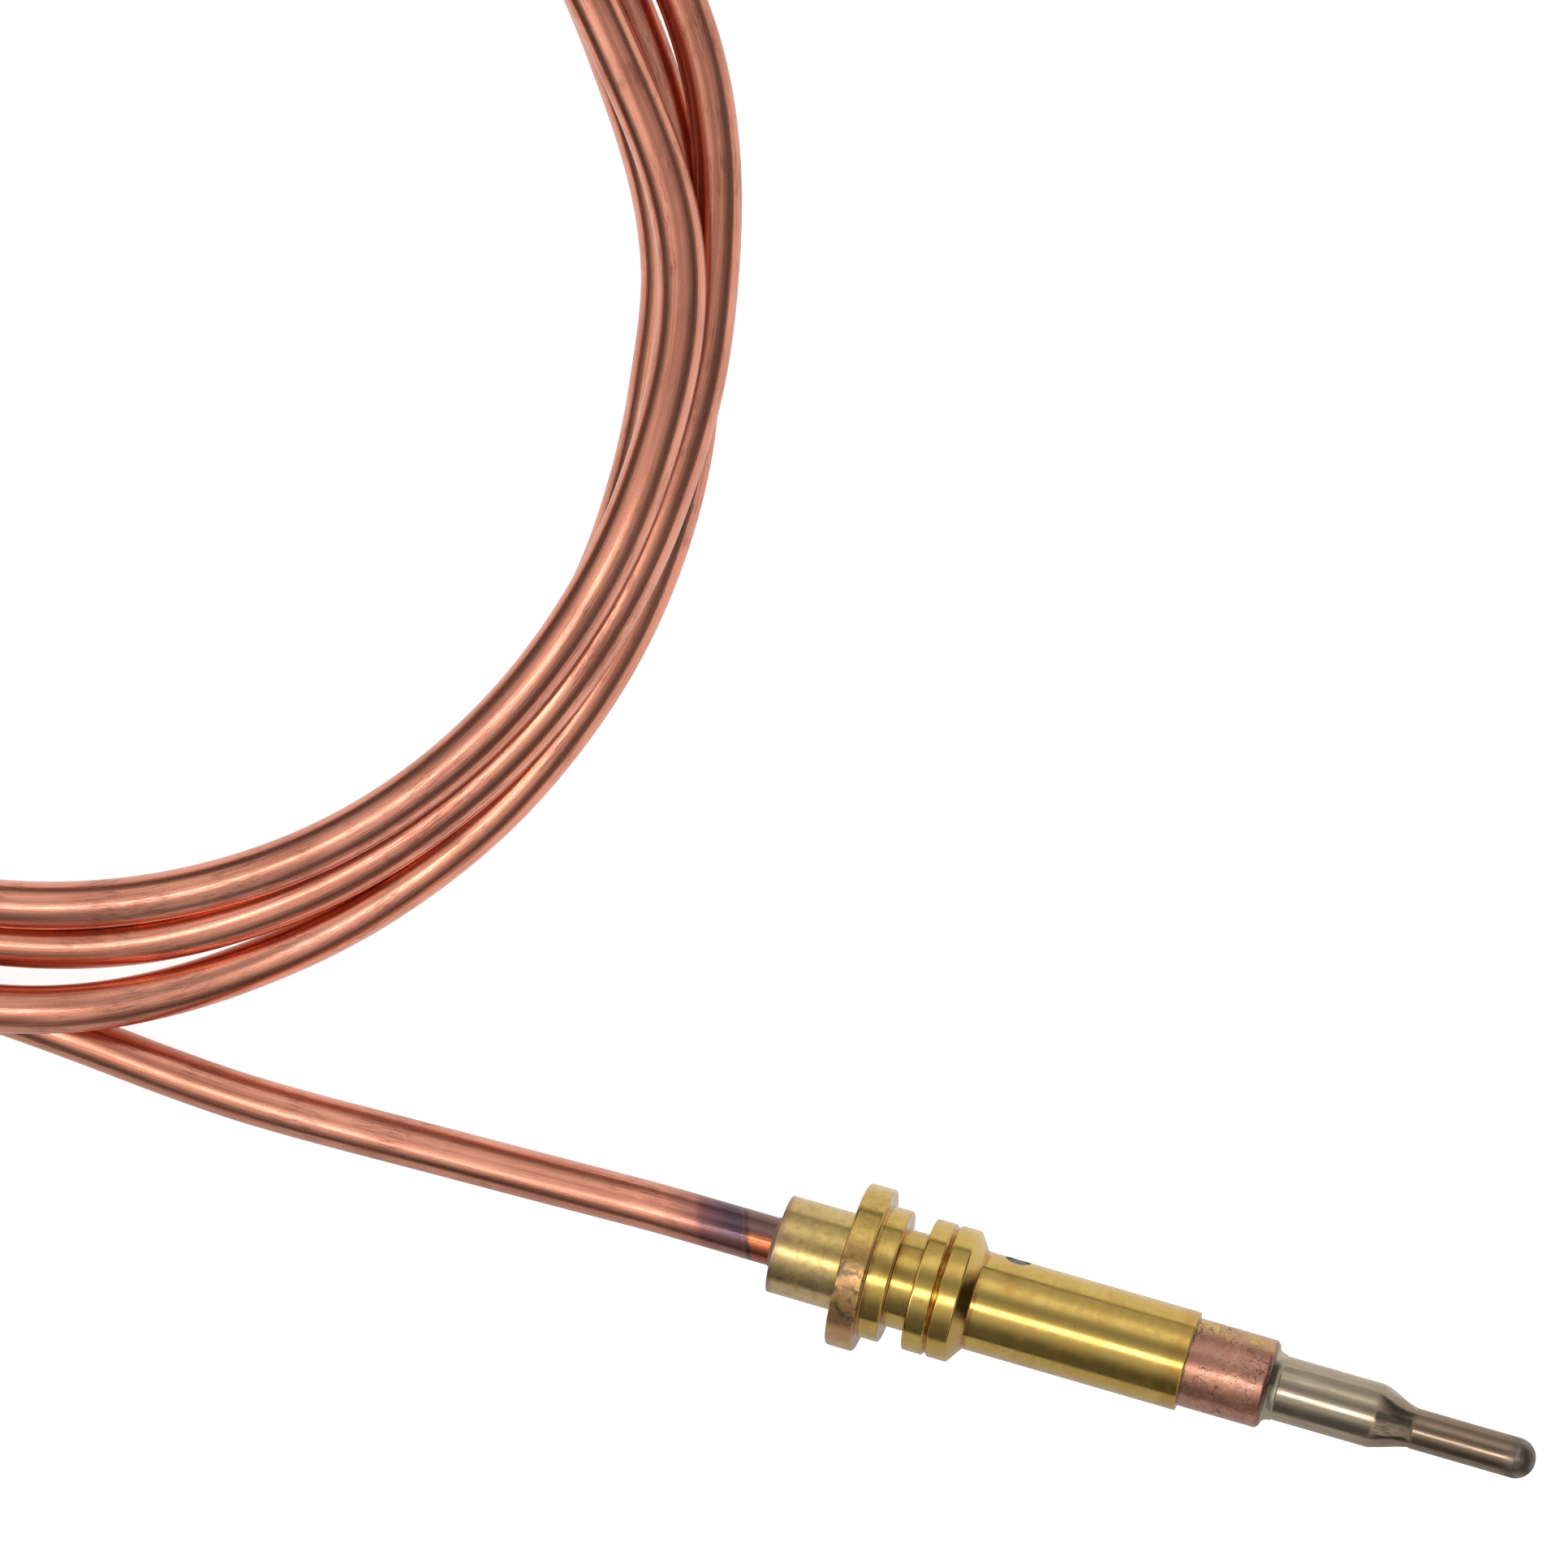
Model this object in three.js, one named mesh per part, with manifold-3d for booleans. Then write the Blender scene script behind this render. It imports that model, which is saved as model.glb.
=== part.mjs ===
// Push-in thermocouple for a gas burner: a turned brass head that carries a swaged nickel-alloy
// hot junction, a coiled copper lead, and a loose union nut on the cold end.
// Millimetres, +Z up. The head lies along +X with its tip at +X, resting on its flange at z = 0.
// The origin is under the middle of the head.
import * as THREE from 'three';
import { mergeVertices } from 'three/addons/utils/BufferGeometryUtils.js';
import Module from 'manifold-3d';

const wasm = await Module();
wasm.setup();

// Driving dimensions. Stations along the head are measured from the back face of its rear boss.
const LEAD_R = 1.5;
const LEAD_BORE_R = 0.9;
const STUB = 0.7;
const GAP = 0.3;

const BOSS = { end: 4.38, r: 3.03 };
const FLANGE = { end: 6.05, r: 5.07 };
const STEP_COLLAR = { end: 7.4, r: 4.1 };
const CLIP_GROOVE = { end: 8.9, r: 3.03 };
const FRONT_COLLAR = { end: 11.68, r: 4.1 };
const WITNESS_GROOVE = { at: 10.3, half: 0.18, depth: 0.22 };
const SLEEVE = { start: 12.4, end: 25.78, r: 3.06 };
const NOSE = { end: 30.87, r: 2.72, chamfer: 0.22 };
const EDGE = 0.15;
const REAR_BORE = { end: 9.0, r: 1.56 };
const FRONT_BORE_R = 2.05;
const PORT = { at: 14.3, r: 0.78, plugR: 0.68, tiltDeg: 7.5, plugTop: 2.9 };

const SHEATH = { start: 15.0, taperStart: 37.45, taperEnd: 40.15, end: 46.5, r: 1.975, tipR: 1.24, wall: 0.4 };
const TIP_END = 47.6;
const CORE_WIRE = { start: 11.9, r: 0.5 };
const CORE_TUBE = { start: 15.0, end: 37.0, r: 1.35, boreR: 0.62 };
const FRONT_BRAZE = { end: 31.5, r: 2.6 };
const REAR_BRAZE = { start: -0.35, r: 2.3 };

const CONDUCTOR = { r: 0.45, hotEnd: 11.7 };
const CONDUCTOR_SLEEVE = { r: 0.82, boreR: 0.52, hotEnd: 9.3 };
const SPLICE = { start: 9.6, end: 13.8, r: 0.86, boreR: 0.56 };
const SPLICE_TUBE = { start: 9.1, end: 14.3, r: 1.4, boreR: 0.92 };

// The coil lies flat beside the head. Its ring is the outer shape of its four turns.
const COIL = { x: -59.69, y: 44.85, innerR: 35.4, outerR: 47.0, height: 9.0, round: 1.5 };
const LEAD_FLOOR_Z = LEAD_R + 0.05;

// The cold end points along +Y. Its stations are measured from the back face of the union nut.
const COLD = { x: -102.05, y: 75.5, z: 5.9 };
const NUT = { across: 10, hexEnd: 4.5, relief: 5.4, reliefR: 3.9, end: 11, threadR: 4.5, boreR: 1.7 };
const NUT_SEAT = { start: 9.25, r: 3.45 };
const FERRULE = { start: 9.6, end: 12.6, r: 3.3, backR: 1.85, boreR: 1.56, sinkStart: 12.1, sinkR: 2.15 };
const WASHER = { end: 13.1, r: 2.6, boreR: 0.6 };
const BUTTON = { end: 14.4, r: 2.0, faceR: 1.2 };

const HEAD_MID = (TIP_END - STUB) / 2;
const AXIS_Z = FLANGE.r;
const FINE = 32;
const COARSE = 16;
const COIL_SEGMENTS = 64;
const LEAD_SIDES = 8;

// Centre line of the free lead, as [x, y, z] from the boss: first from the head to the coil, then
// from the coil to the cold end. scene.py repeats both lists.
const HOT_ROUTE = [
  [-1.0, 0, AXIS_Z],
  [-4, 0, 5.02],
  [-8, -0.02, 4.75],
  [-12, -0.14, 4.25],
  [-16, -0.29, 3.6],
  [-20, -0.44, 2.9],
  [-24, -0.58, 2.25],
  [-28, -0.71, 1.8],
  [-32, -0.78, 1.6],
  [-36, -0.73, LEAD_FLOOR_Z],
  [-40.3, -0.49, LEAD_FLOOR_Z],
];
const COLD_ROUTE = [
  [COLD.x, 69.3, 5.9],
  [COLD.x, 71.9, 5.9],
  [COLD.x, COLD.y - STUB - GAP, COLD.z],
];

// Finishes.
const FINISH = {
  brass: { color: 0xc9a23c, roughness: 0.3, metalness: 1 },
  copper: { color: 0xb5654a, roughness: 0.4, metalness: 1 },
  nickelAlloy: { color: 0x9a9186, roughness: 0.35, metalness: 1 },
  weld: { color: 0x6f655c, roughness: 0.6, metalness: 1 },
  silverBraze: { color: 0xc9c4b4, roughness: 0.4, metalness: 1 },
  solder: { color: 0x8c8c8a, roughness: 0.55, metalness: 1 },
  constantan: { color: 0xa89a86, roughness: 0.4, metalness: 1 },
  ceramic: { color: 0xe6dfd0, roughness: 0.7, metalness: 0 },
  glassSleeve: { color: 0xd9d2bd, roughness: 0.85, metalness: 0 },
  fibre: { color: 0x7c3b2a, roughness: 0.8, metalness: 0 },
};

// A closed outline of [station, radius] points, turned about +X.
function turned(outline, segments = FINE) {
  const points = outline.map(([station, radius]) => new THREE.Vector2(radius, station));
  return new THREE.LatheGeometry(points, segments).rotateZ(-Math.PI / 2);
}

// A turned tube, or a rod where the bore radius is 0.
function tube(start, end, radius, boreRadius, segments = COARSE) {
  if (boreRadius === 0) {
    return turned([[start, 0], [start, radius], [end, radius], [end, 0]], segments);
  }
  const outline = [[start, boreRadius], [start, radius], [end, radius], [end, boreRadius], [start, boreRadius]];
  return turned(outline, segments);
}

function toSolid(geometry) {
  const bare = geometry.clone();
  bare.deleteAttribute('normal');
  bare.deleteAttribute('uv');
  const merged = mergeVertices(bare, 1e-5);
  const vertProperties = new Float32Array(merged.attributes.position.array);
  const triVerts = new Uint32Array(merged.index.array);
  return new wasm.Manifold(new wasm.Mesh({ numProp: 3, vertProperties, triVerts }));
}

function toGeometry(solid) {
  const mesh = solid.getMesh();
  const geometry = new THREE.BufferGeometry();
  geometry.setAttribute('position', new THREE.BufferAttribute(new Float32Array(mesh.vertProperties), 3));
  geometry.setIndex(new THREE.BufferAttribute(new Uint32Array(mesh.triVerts), 1));
  return geometry;
}

// A short round rod that stands out radially from the head's axis, turned up from +Y.
function radialRod(station, radius, innerEnd, outerEnd) {
  const rod = new THREE.CylinderGeometry(radius, radius, outerEnd - innerEnd, COARSE);
  rod.translate(0, (outerEnd + innerEnd) / 2, 0);
  rod.rotateX(THREE.MathUtils.degToRad(PORT.tiltDeg));
  rod.translate(station, 0, 0);
  return rod;
}

function headBody() {
  const groove = WITNESS_GROOVE;
  const outline = [
    [0, REAR_BORE.r],
    [0, BOSS.r - EDGE],
    [EDGE, BOSS.r],
    [BOSS.end, BOSS.r],
    [BOSS.end, FLANGE.r - EDGE],
    [BOSS.end + EDGE, FLANGE.r],
    [FLANGE.end - EDGE, FLANGE.r],
    [FLANGE.end, FLANGE.r - EDGE],
    [FLANGE.end, STEP_COLLAR.r],
    [STEP_COLLAR.end, STEP_COLLAR.r],
    [STEP_COLLAR.end, CLIP_GROOVE.r],
    [CLIP_GROOVE.end, CLIP_GROOVE.r],
    [CLIP_GROOVE.end, FRONT_COLLAR.r],
    [groove.at - groove.half, FRONT_COLLAR.r],
    [groove.at, FRONT_COLLAR.r - groove.depth],
    [groove.at + groove.half, FRONT_COLLAR.r],
    [FRONT_COLLAR.end, FRONT_COLLAR.r],
    [SLEEVE.start, SLEEVE.r],
    [SLEEVE.end, SLEEVE.r],
    [SLEEVE.end, NOSE.r],
    [NOSE.end - NOSE.chamfer, NOSE.r],
    [NOSE.end, NOSE.r - NOSE.chamfer],
    [NOSE.end, FRONT_BORE_R],
    [REAR_BORE.end, FRONT_BORE_R],
    [REAR_BORE.end, REAR_BORE.r],
    [0, REAR_BORE.r],
  ];
  const port = toSolid(radialRod(PORT.at, PORT.r, FRONT_BORE_R - 1, SLEEVE.r + 1));
  return toGeometry(toSolid(turned(outline)).subtract(port));
}

function portPlug() {
  return radialRod(PORT.at, PORT.plugR, FRONT_BORE_R + 0.1, PORT.plugTop);
}

function sheath() {
  const outline = [
    [SHEATH.start, SHEATH.r - SHEATH.wall],
    [SHEATH.start, SHEATH.r],
    [SHEATH.taperStart, SHEATH.r],
    [SHEATH.taperEnd, SHEATH.tipR],
    [SHEATH.end, SHEATH.tipR],
    [SHEATH.end, SHEATH.tipR - SHEATH.wall],
    [SHEATH.taperEnd, SHEATH.tipR - SHEATH.wall],
    [SHEATH.taperStart, SHEATH.r - SHEATH.wall],
    [SHEATH.start, SHEATH.r - SHEATH.wall],
  ];
  return turned(outline);
}

// The welded dome that closes the sheath and joins the core wire to it.
function junctionWeld() {
  const outline = [[SHEATH.end, 0], [SHEATH.end, SHEATH.tipR]];
  const steps = 4;
  for (let i = 1; i <= steps; i += 1) {
    const angle = (i / steps) * (Math.PI / 2);
    const station = SHEATH.end + (TIP_END - SHEATH.end) * Math.sin(angle);
    outline.push([station, i === steps ? 0 : SHEATH.tipR * Math.cos(angle)]);
  }
  return turned(outline);
}

// A ring of braze whose outside falls in a hollow curve from a face down to a shaft.
function fillet(face, reach, outerRadius, innerRadius) {
  const outline = [[face, innerRadius], [face, outerRadius]];
  const steps = 3;
  for (let i = 1; i <= steps; i += 1) {
    const t = i / (steps + 1);
    const dip = 1 - Math.sqrt(1 - (1 - t) ** 2);
    outline.push([face + (reach - face) * t, innerRadius + 0.08 + (outerRadius - innerRadius - 0.08) * dip]);
  }
  outline.push([reach, innerRadius + 0.05], [reach, innerRadius], [face, innerRadius]);
  return reach > face ? turned(outline) : turned(outline.reverse());
}

function coilRing() {
  const { innerR, outerR, height, round } = COIL;
  const outline = [
    [0, innerR + round],
    [0, outerR - round],
    [round, outerR],
    [height - round, outerR],
    [height, outerR - round],
    [height, innerR + round],
    [height - round, innerR],
    [round, innerR],
    [0, innerR + round],
  ];
  const points = outline.map(([z, radius]) => new THREE.Vector2(radius, z));
  return new THREE.LatheGeometry(points, COIL_SEGMENTS).rotateX(Math.PI / 2);
}

function leadRun(route, steps) {
  const path = new THREE.CatmullRomCurve3(route.map((point) => new THREE.Vector3(...point)), false, 'centripetal');
  const section = new THREE.Shape();
  for (let i = 0; i < LEAD_SIDES; i += 1) {
    const angle = (2 * Math.PI * (i + 0.5)) / LEAD_SIDES;
    section[i === 0 ? 'moveTo' : 'lineTo'](LEAD_R * Math.cos(angle), LEAD_R * Math.sin(angle));
  }
  section.closePath();
  return new THREE.ExtrudeGeometry(section, { steps, extrudePath: path, bevelEnabled: false });
}

// The union nut: a chamfered hexagon, a thread relief and a shank, bored for the lead, with a
// conical seat that pulls on the ferrule.
function unionNut() {
  const cornerR = NUT.across / 2 / Math.cos(Math.PI / 6);
  const chamfer = cornerR - NUT.across / 2 + 0.1;
  const hexagon = new THREE.CylinderGeometry(cornerR, cornerR, NUT.hexEnd, 6).rotateY(Math.PI / 6);
  hexagon.rotateZ(-Math.PI / 2).translate(NUT.hexEnd / 2, 0, 0);
  const blank = turned([
    [0, 0],
    [0, cornerR - chamfer],
    [chamfer * 0.58, cornerR],
    [NUT.hexEnd - chamfer * 0.58, cornerR],
    [NUT.hexEnd, cornerR - chamfer],
    [NUT.hexEnd, 0],
  ], COARSE * 3);
  const shank = turned([
    [NUT.hexEnd - 1, 0],
    [NUT.hexEnd - 1, NUT.reliefR],
    [NUT.relief, NUT.reliefR],
    [NUT.relief + 0.5, NUT.threadR],
    [NUT.end - 0.6, NUT.threadR],
    [NUT.end, NUT.threadR - 0.6],
    [NUT.end, 0],
  ], FINE);
  const bore = turned([
    [-1, 0],
    [-1, NUT.boreR],
    [NUT_SEAT.start, NUT.boreR],
    [NUT.end, NUT_SEAT.r],
    [NUT.end + 1, NUT_SEAT.r],
    [NUT.end + 1, 0],
  ], FINE);
  const solid = toSolid(hexagon).intersect(toSolid(blank)).add(toSolid(shank)).subtract(toSolid(bore));
  return toGeometry(solid);
}

function endFerrule() {
  return turned([
    [FERRULE.start, FERRULE.boreR],
    [FERRULE.start, FERRULE.backR],
    [FERRULE.start + FERRULE.r - FERRULE.backR, FERRULE.r],
    [FERRULE.end - 0.4, FERRULE.r],
    [FERRULE.end, FERRULE.r - 0.4],
    [FERRULE.end, FERRULE.sinkR],
    [FERRULE.sinkStart, FERRULE.sinkR - 0.5],
    [FERRULE.sinkStart, FERRULE.boreR],
    [FERRULE.start, FERRULE.boreR],
  ]);
}

function ferruleBraze() {
  return turned([
    [FERRULE.sinkStart, LEAD_BORE_R + 0.1],
    [FERRULE.sinkStart, FERRULE.sinkR - 0.57],
    [FERRULE.end, FERRULE.sinkR - 0.07],
    [FERRULE.end, LEAD_BORE_R + 0.1],
    [FERRULE.sinkStart, LEAD_BORE_R + 0.1],
  ], COARSE);
}

function contactButton() {
  return turned([
    [WASHER.end, 0],
    [WASHER.end, BUTTON.r],
    [WASHER.end + 0.6, BUTTON.r],
    [BUTTON.end - 0.3, BUTTON.faceR + 0.45],
    [BUTTON.end, BUTTON.faceR],
    [BUTTON.end, 0],
  ]);
}

const thermocouple = new THREE.Group();
const head = new THREE.Group();
head.position.set(-HEAD_MID, 0, AXIS_Z);
const lying = new THREE.Group();
lying.position.set(-HEAD_MID, 0, 0);
const coldEnd = new THREE.Group();
coldEnd.position.set(COLD.x - HEAD_MID, COLD.y, COLD.z);
coldEnd.rotation.z = Math.PI / 2;
thermocouple.add(head, lying, coldEnd);

function piece(group, name, geometry, finish) {
  const mesh = new THREE.Mesh(geometry, new THREE.MeshStandardMaterial(FINISH[finish]));
  mesh.name = name;
  group.add(mesh);
  return mesh;
}

function addHead() {
  piece(head, 'head_body', headBody(), 'brass');
  piece(head, 'port_plug', portPlug(), 'solder');
  piece(head, 'sheath', sheath(), 'nickelAlloy');
  piece(head, 'junction_weld', junctionWeld(), 'weld');
  piece(head, 'core_wire', tube(CORE_WIRE.start, SHEATH.end, CORE_WIRE.r, 0), 'constantan');
  piece(head, 'core_insulator', tube(CORE_TUBE.start, CORE_TUBE.end, CORE_TUBE.r, CORE_TUBE.boreR), 'ceramic');
  piece(head, 'front_braze', fillet(NOSE.end, FRONT_BRAZE.end, FRONT_BRAZE.r - 0.15, 2.0), 'silverBraze');
  piece(head, 'rear_braze', fillet(0, REAR_BRAZE.start, REAR_BRAZE.r, 1.53), 'silverBraze');
}

function addSplice() {
  piece(head, 'capillary_end_hot', tube(-STUB, REAR_BORE.end - 0.2, LEAD_R, LEAD_BORE_R), 'copper');
  piece(head, 'conductor_hot', tube(-STUB, CONDUCTOR.hotEnd, CONDUCTOR.r, 0), 'copper');
  const { r, boreR, hotEnd } = CONDUCTOR_SLEEVE;
  piece(head, 'conductor_sleeve_hot', tube(-STUB, hotEnd, r, boreR), 'glassSleeve');
  piece(head, 'splice_ferrule', tube(SPLICE.start, SPLICE.end, SPLICE.r, SPLICE.boreR), 'copper');
  const outer = SPLICE_TUBE;
  piece(head, 'splice_insulator', tube(outer.start, outer.end, outer.r, outer.boreR), 'glassSleeve');
}

function addLead() {
  piece(lying, 'lead_run_hot', leadRun(HOT_ROUTE, 7), 'copper');
  piece(lying, 'lead_coil', coilRing().translate(COIL.x, COIL.y, 0), 'copper');
  piece(lying, 'lead_run_cold', leadRun(COLD_ROUTE, 2), 'copper');
}

function addColdEnd() {
  piece(coldEnd, 'capillary_end_cold', tube(-STUB, FERRULE.sinkStart, LEAD_R, LEAD_BORE_R), 'copper');
  piece(coldEnd, 'conductor_cold', tube(-STUB, WASHER.end, CONDUCTOR.r, 0), 'copper');
  const { r, boreR } = CONDUCTOR_SLEEVE;
  piece(coldEnd, 'conductor_sleeve_cold', tube(-STUB, FERRULE.end, r, boreR), 'glassSleeve');
  piece(coldEnd, 'end_ferrule', endFerrule(), 'brass');
  piece(coldEnd, 'ferrule_braze', ferruleBraze(), 'silverBraze');
  piece(coldEnd, 'insulating_washer', tube(FERRULE.end, WASHER.end, WASHER.r, WASHER.boreR, FINE), 'fibre');
  piece(coldEnd, 'contact_button', contactButton(), 'solder');
  piece(coldEnd, 'union_nut', unionNut(), 'brass');
}

addHead();
addSplice();
addLead();
addColdEnd();

export default thermocouple;
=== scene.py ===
import bisect
import math
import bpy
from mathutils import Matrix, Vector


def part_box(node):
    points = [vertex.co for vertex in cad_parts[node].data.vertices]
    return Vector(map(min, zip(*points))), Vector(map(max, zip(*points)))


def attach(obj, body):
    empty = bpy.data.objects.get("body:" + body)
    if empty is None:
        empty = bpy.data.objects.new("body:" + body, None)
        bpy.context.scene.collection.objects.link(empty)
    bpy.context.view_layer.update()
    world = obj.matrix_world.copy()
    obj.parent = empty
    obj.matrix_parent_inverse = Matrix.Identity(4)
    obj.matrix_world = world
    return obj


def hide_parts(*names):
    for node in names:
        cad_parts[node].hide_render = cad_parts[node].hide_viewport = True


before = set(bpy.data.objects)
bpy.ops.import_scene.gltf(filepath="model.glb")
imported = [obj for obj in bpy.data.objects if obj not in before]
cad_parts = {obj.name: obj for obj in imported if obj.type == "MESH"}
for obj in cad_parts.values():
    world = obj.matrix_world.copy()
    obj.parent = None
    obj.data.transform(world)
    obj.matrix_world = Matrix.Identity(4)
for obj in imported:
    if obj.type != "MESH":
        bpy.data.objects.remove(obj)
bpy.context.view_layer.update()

from types import SimpleNamespace

import bmesh
import bpy
from mathutils import Matrix, Vector, noise

bl_info = {
    "name": "Push-in thermocouple",
    "version": (1, 0, 0),
    "blender": (4, 5, 0),
    "location": "3D View > Sidebar > Thermocouple",
    "description": "Builds a brass-headed gas thermocouple with a coiled copper lead around its CAD frame",
    "category": "Add Mesh",
}

MM = 0.001
BODY = "thermocouple"
NUT_BODY = "nut"

# Places that the frame gives: the head's axis and stations, and the cold end's axis.
HEAD_LOW, HEAD_HIGH = (Vector(corner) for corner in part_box("head_body"))
BOSS_X = HEAD_LOW.x
AXIS_Z = (HEAD_LOW.z + HEAD_HIGH.z) / 2
NUT_LOW, NUT_HIGH = (Vector(corner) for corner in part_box("union_nut"))
COLD_X = (NUT_LOW.x + NUT_HIGH.x) / 2
COLD_Y = NUT_LOW.y
COLD_Z = (NUT_LOW.z + NUT_HIGH.z) / 2
COIL_LOW, COIL_HIGH = (Vector(corner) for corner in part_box("lead_coil"))
COIL_X = (COIL_LOW.x + COIL_HIGH.x) / 2
COIL_Y = (COIL_LOW.y + COIL_HIGH.y) / 2


# The lead's route from the head to the coil, in millimetres from the boss, as the CAD model has it.
HOT_ROUTE = [
    (-1.0, 0, 5.07),
    (-4, 0, 5.02),
    (-8, -0.02, 4.75),
    (-12, -0.14, 4.25),
    (-16, -0.29, 3.6),
    (-20, -0.44, 2.9),
    (-24, -0.58, 2.25),
    (-28, -0.71, 1.8),
    (-32, -0.78, 1.6),
    (-36, -0.73, 1.55),
    (-40.3, -0.49, 1.55),
]
# Where the tail runs on under the coil until it joins the first turn.
HOT_LEAD_IN = [(-45, -0.11, 1.55), (-49.6, 0.21, 1.55), (-55, 0.45, 1.55)]
# Where the last turn leaves the coil for the union nut, as distances from the nut's back face.
COLD_LEAD_OUT = [
    (-28, 7.45),
    (-24.5, 7.45),
    (-20.5, 7.45),
    (-17, 7.45),
    (-14, 7.35),
    (-11, 6.9),
    (-8.5, 6.3),
    (-6.2, 5.95),
]
COLD_ROUTE = [(-6.2, 5.9), (-3.6, 5.9), (-1.0, 5.9)]

# How each turn lies: angle clockwise from straight below the coil's centre, radius and height.
TURN_LAY = [
    [
        (0, 44.1, 1.55), (30, 43.6, 1.55), (60, 43.3, 1.55), (90, 43.0, 1.55), (120, 42.2, 1.55),
        (150, 41.4, 1.55), (180, 40.6, 1.55), (210, 39.8, 1.55), (234, 39.1, 1.55), (254, 39.7, 1.55),
        (264, 40.2, 1.55), (274, 40.9, 1.55), (294, 42.1, 1.55), (314, 43.2, 1.55), (326, 43.9, 1.8),
        (334, 44.5, 2.9), (343, 45.1, 4.5), (350, 45.25, 4.7),
    ],
    [
        (0, 45.2, 4.65), (30, 45.1, 4.65), (60, 45.0, 4.65), (90, 45.0, 4.5), (120, 44.6, 4.0),
        (150, 44.1, 3.4), (180, 43.6, 2.8), (210, 42.9, 2.6), (234, 42.3, 3.0), (254, 41.2, 4.3),
        (264, 40.9, 4.7), (274, 40.7, 4.8), (294, 40.8, 4.3), (314, 41.0, 3.8), (334, 41.2, 3.65),
    ],
    [
        (0, 41.1, 3.8), (30, 41.5, 4.0), (60, 41.8, 4.15), (90, 41.9, 4.35), (120, 41.4, 4.5),
        (150, 40.5, 4.5), (180, 39.4, 4.35), (210, 38.2, 4.15), (234, 37.2, 3.95), (254, 38.05, 4.15),
        (264, 37.9, 3.8), (274, 38.1, 3.05), (284, 38.55, 2.2), (294, 38.9, 1.6), (314, 38.95, 1.55),
        (334, 38.85, 1.55),
    ],
    [
        (0, 38.85, 1.55), (30, 38.8, 1.55), (60, 38.7, 1.9), (90, 38.6, 3.3), (120, 38.4, 5.2),
        (150, 38.3, 6.65), (180, 38.1, 7.2), (210, 37.9, 7.2), (234, 37.8, 6.95), (254, 39.5, 7.1),
        (274, 39.5, 7.65), (294, 39.4, 7.1), (314, 39.2, 6.3), (334, 38.9, 5.7),
    ],
    [(0, 38.8, 5.95), (30, 39.4, 6.5), (60, 40.8, 7.2), (90, 42.36, 7.45)],
]


# Stations that neighbouring pieces share. The first two are measured from the boss, the rest from the nut.
NOSE_END = 30.87 * MM
SHEATH_END = 46.12 * MM
FERRULE_START = 9.6 * MM
FERRULE_SEAT = 12.1 * MM
FERRULE_END = 12.6 * MM
WASHER_END = 13.1 * MM
CONTACT_END = 14.37 * MM
# The solder port points to the head's +Y side and this much up.
PORT_TILT = math.radians(7.5)
# The flats that the swaging jaws left: the angle of each in degrees and its lift in millimetres.
JAW_MARKS = ((-9.5, 0.0), (-99.5, -0.04), (170.5, 0.0), (80.5, 0.06))
# Vertices closer than this count as one place.
SAME_PLACE = 1e-6
# How far the hand-wound tube wanders off its even course, and how fine the wander is.
WANDER = 0.07 * MM
WANDER_SCALE = 90
# The tube keeps to its course for the first two lengths at its ends, and takes up the wander over the third.
HELD_HOT, HELD_COLD, HELD_FADE = 14 * MM, 18 * MM, 20 * MM


# ---------------------------------------------------------------------------------------------
# Sizes and colours that a user would change
# ---------------------------------------------------------------------------------------------


def length(label, text, millimetres):
    return bpy.props.FloatProperty(name=label, description=text, default=millimetres * MM,
                                   min=0, precision=5, unit="LENGTH", subtype="DISTANCE")


def colour(label, text, rgb):
    return bpy.props.FloatVectorProperty(name=label, description=text, default=rgb,
                                         min=0, max=1, size=3, subtype="COLOR")


class ThermocoupleHeadSizes(bpy.types.PropertyGroup):
    """Sizes of the turned brass head. Stations are measured from the back of the rear boss."""
    boss_radius: length("Boss radius", "Rear boss", 3.03)
    boss_end: length("Boss end", "Where the rear boss meets the flange", 4.38)
    flange_radius: length("Flange radius", "Locating flange", 5.07)
    flange_end: length("Flange end", "Front face of the flange", 6.05)
    collar_radius: length("Collar radius", "Step collar and front collar", 4.1)
    step_end: length("Step collar end", "Front face of the step collar", 7.4)
    groove_radius: length("Clip groove radius", "Floor of the clip groove", 3.03)
    groove_end: length("Clip groove end", "Front side of the clip groove", 8.9)
    front_collar_end: length("Front collar end", "Where the cone begins", 11.68)
    witness_at: length("Fine groove", "Station of the fine groove in the front collar", 10.3)
    sleeve_start: length("Sleeve start", "Where the cone ends", 12.4)
    sleeve_radius: length("Sleeve radius", "Plain sleeve", 3.06)
    sleeve_end: length("Sleeve end", "Front of the sleeve", 25.78)
    nose_radius: length("Nose radius", "Reduced nose", 2.72)
    rear_bore_radius: length("Rear bore radius", "Bore for the lead", 1.56)
    rear_bore_end: length("Rear bore end", "Where the wider front bore begins", 9.0)
    front_bore_radius: length("Front bore radius", "Bore for the sheath", 2.05)
    port_at: length("Port station", "Centre of the solder port", 14.3)
    port_radius: length("Port radius", "Radius of the solder port", 0.78)


class ThermocoupleTipSizes(bpy.types.PropertyGroup):
    """Sizes of the sheath, the welded tip and the braze."""
    sheath_radius: length("Sheath radius", "Full radius of the sheath", 1.975)
    taper_start: length("Taper start", "Station where the swage begins", 37.3)
    taper_end: length("Taper end", "Station where the swage ends", 40.0)
    tip_radius: length("Tip radius", "Radius of the swaged tip", 1.24)
    wall: length("Wall", "Wall of the sheath", 0.4)
    tip_offset: length("Tip offset", "How far the swaged tip stands off centre", 0.1)
    jaw_start: length("Jaw start", "Back end of the swaging jaws' marks", 37.5)
    jaw_end: length("Jaw end", "Front end of the swaging jaws' marks", 39.82)


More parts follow.
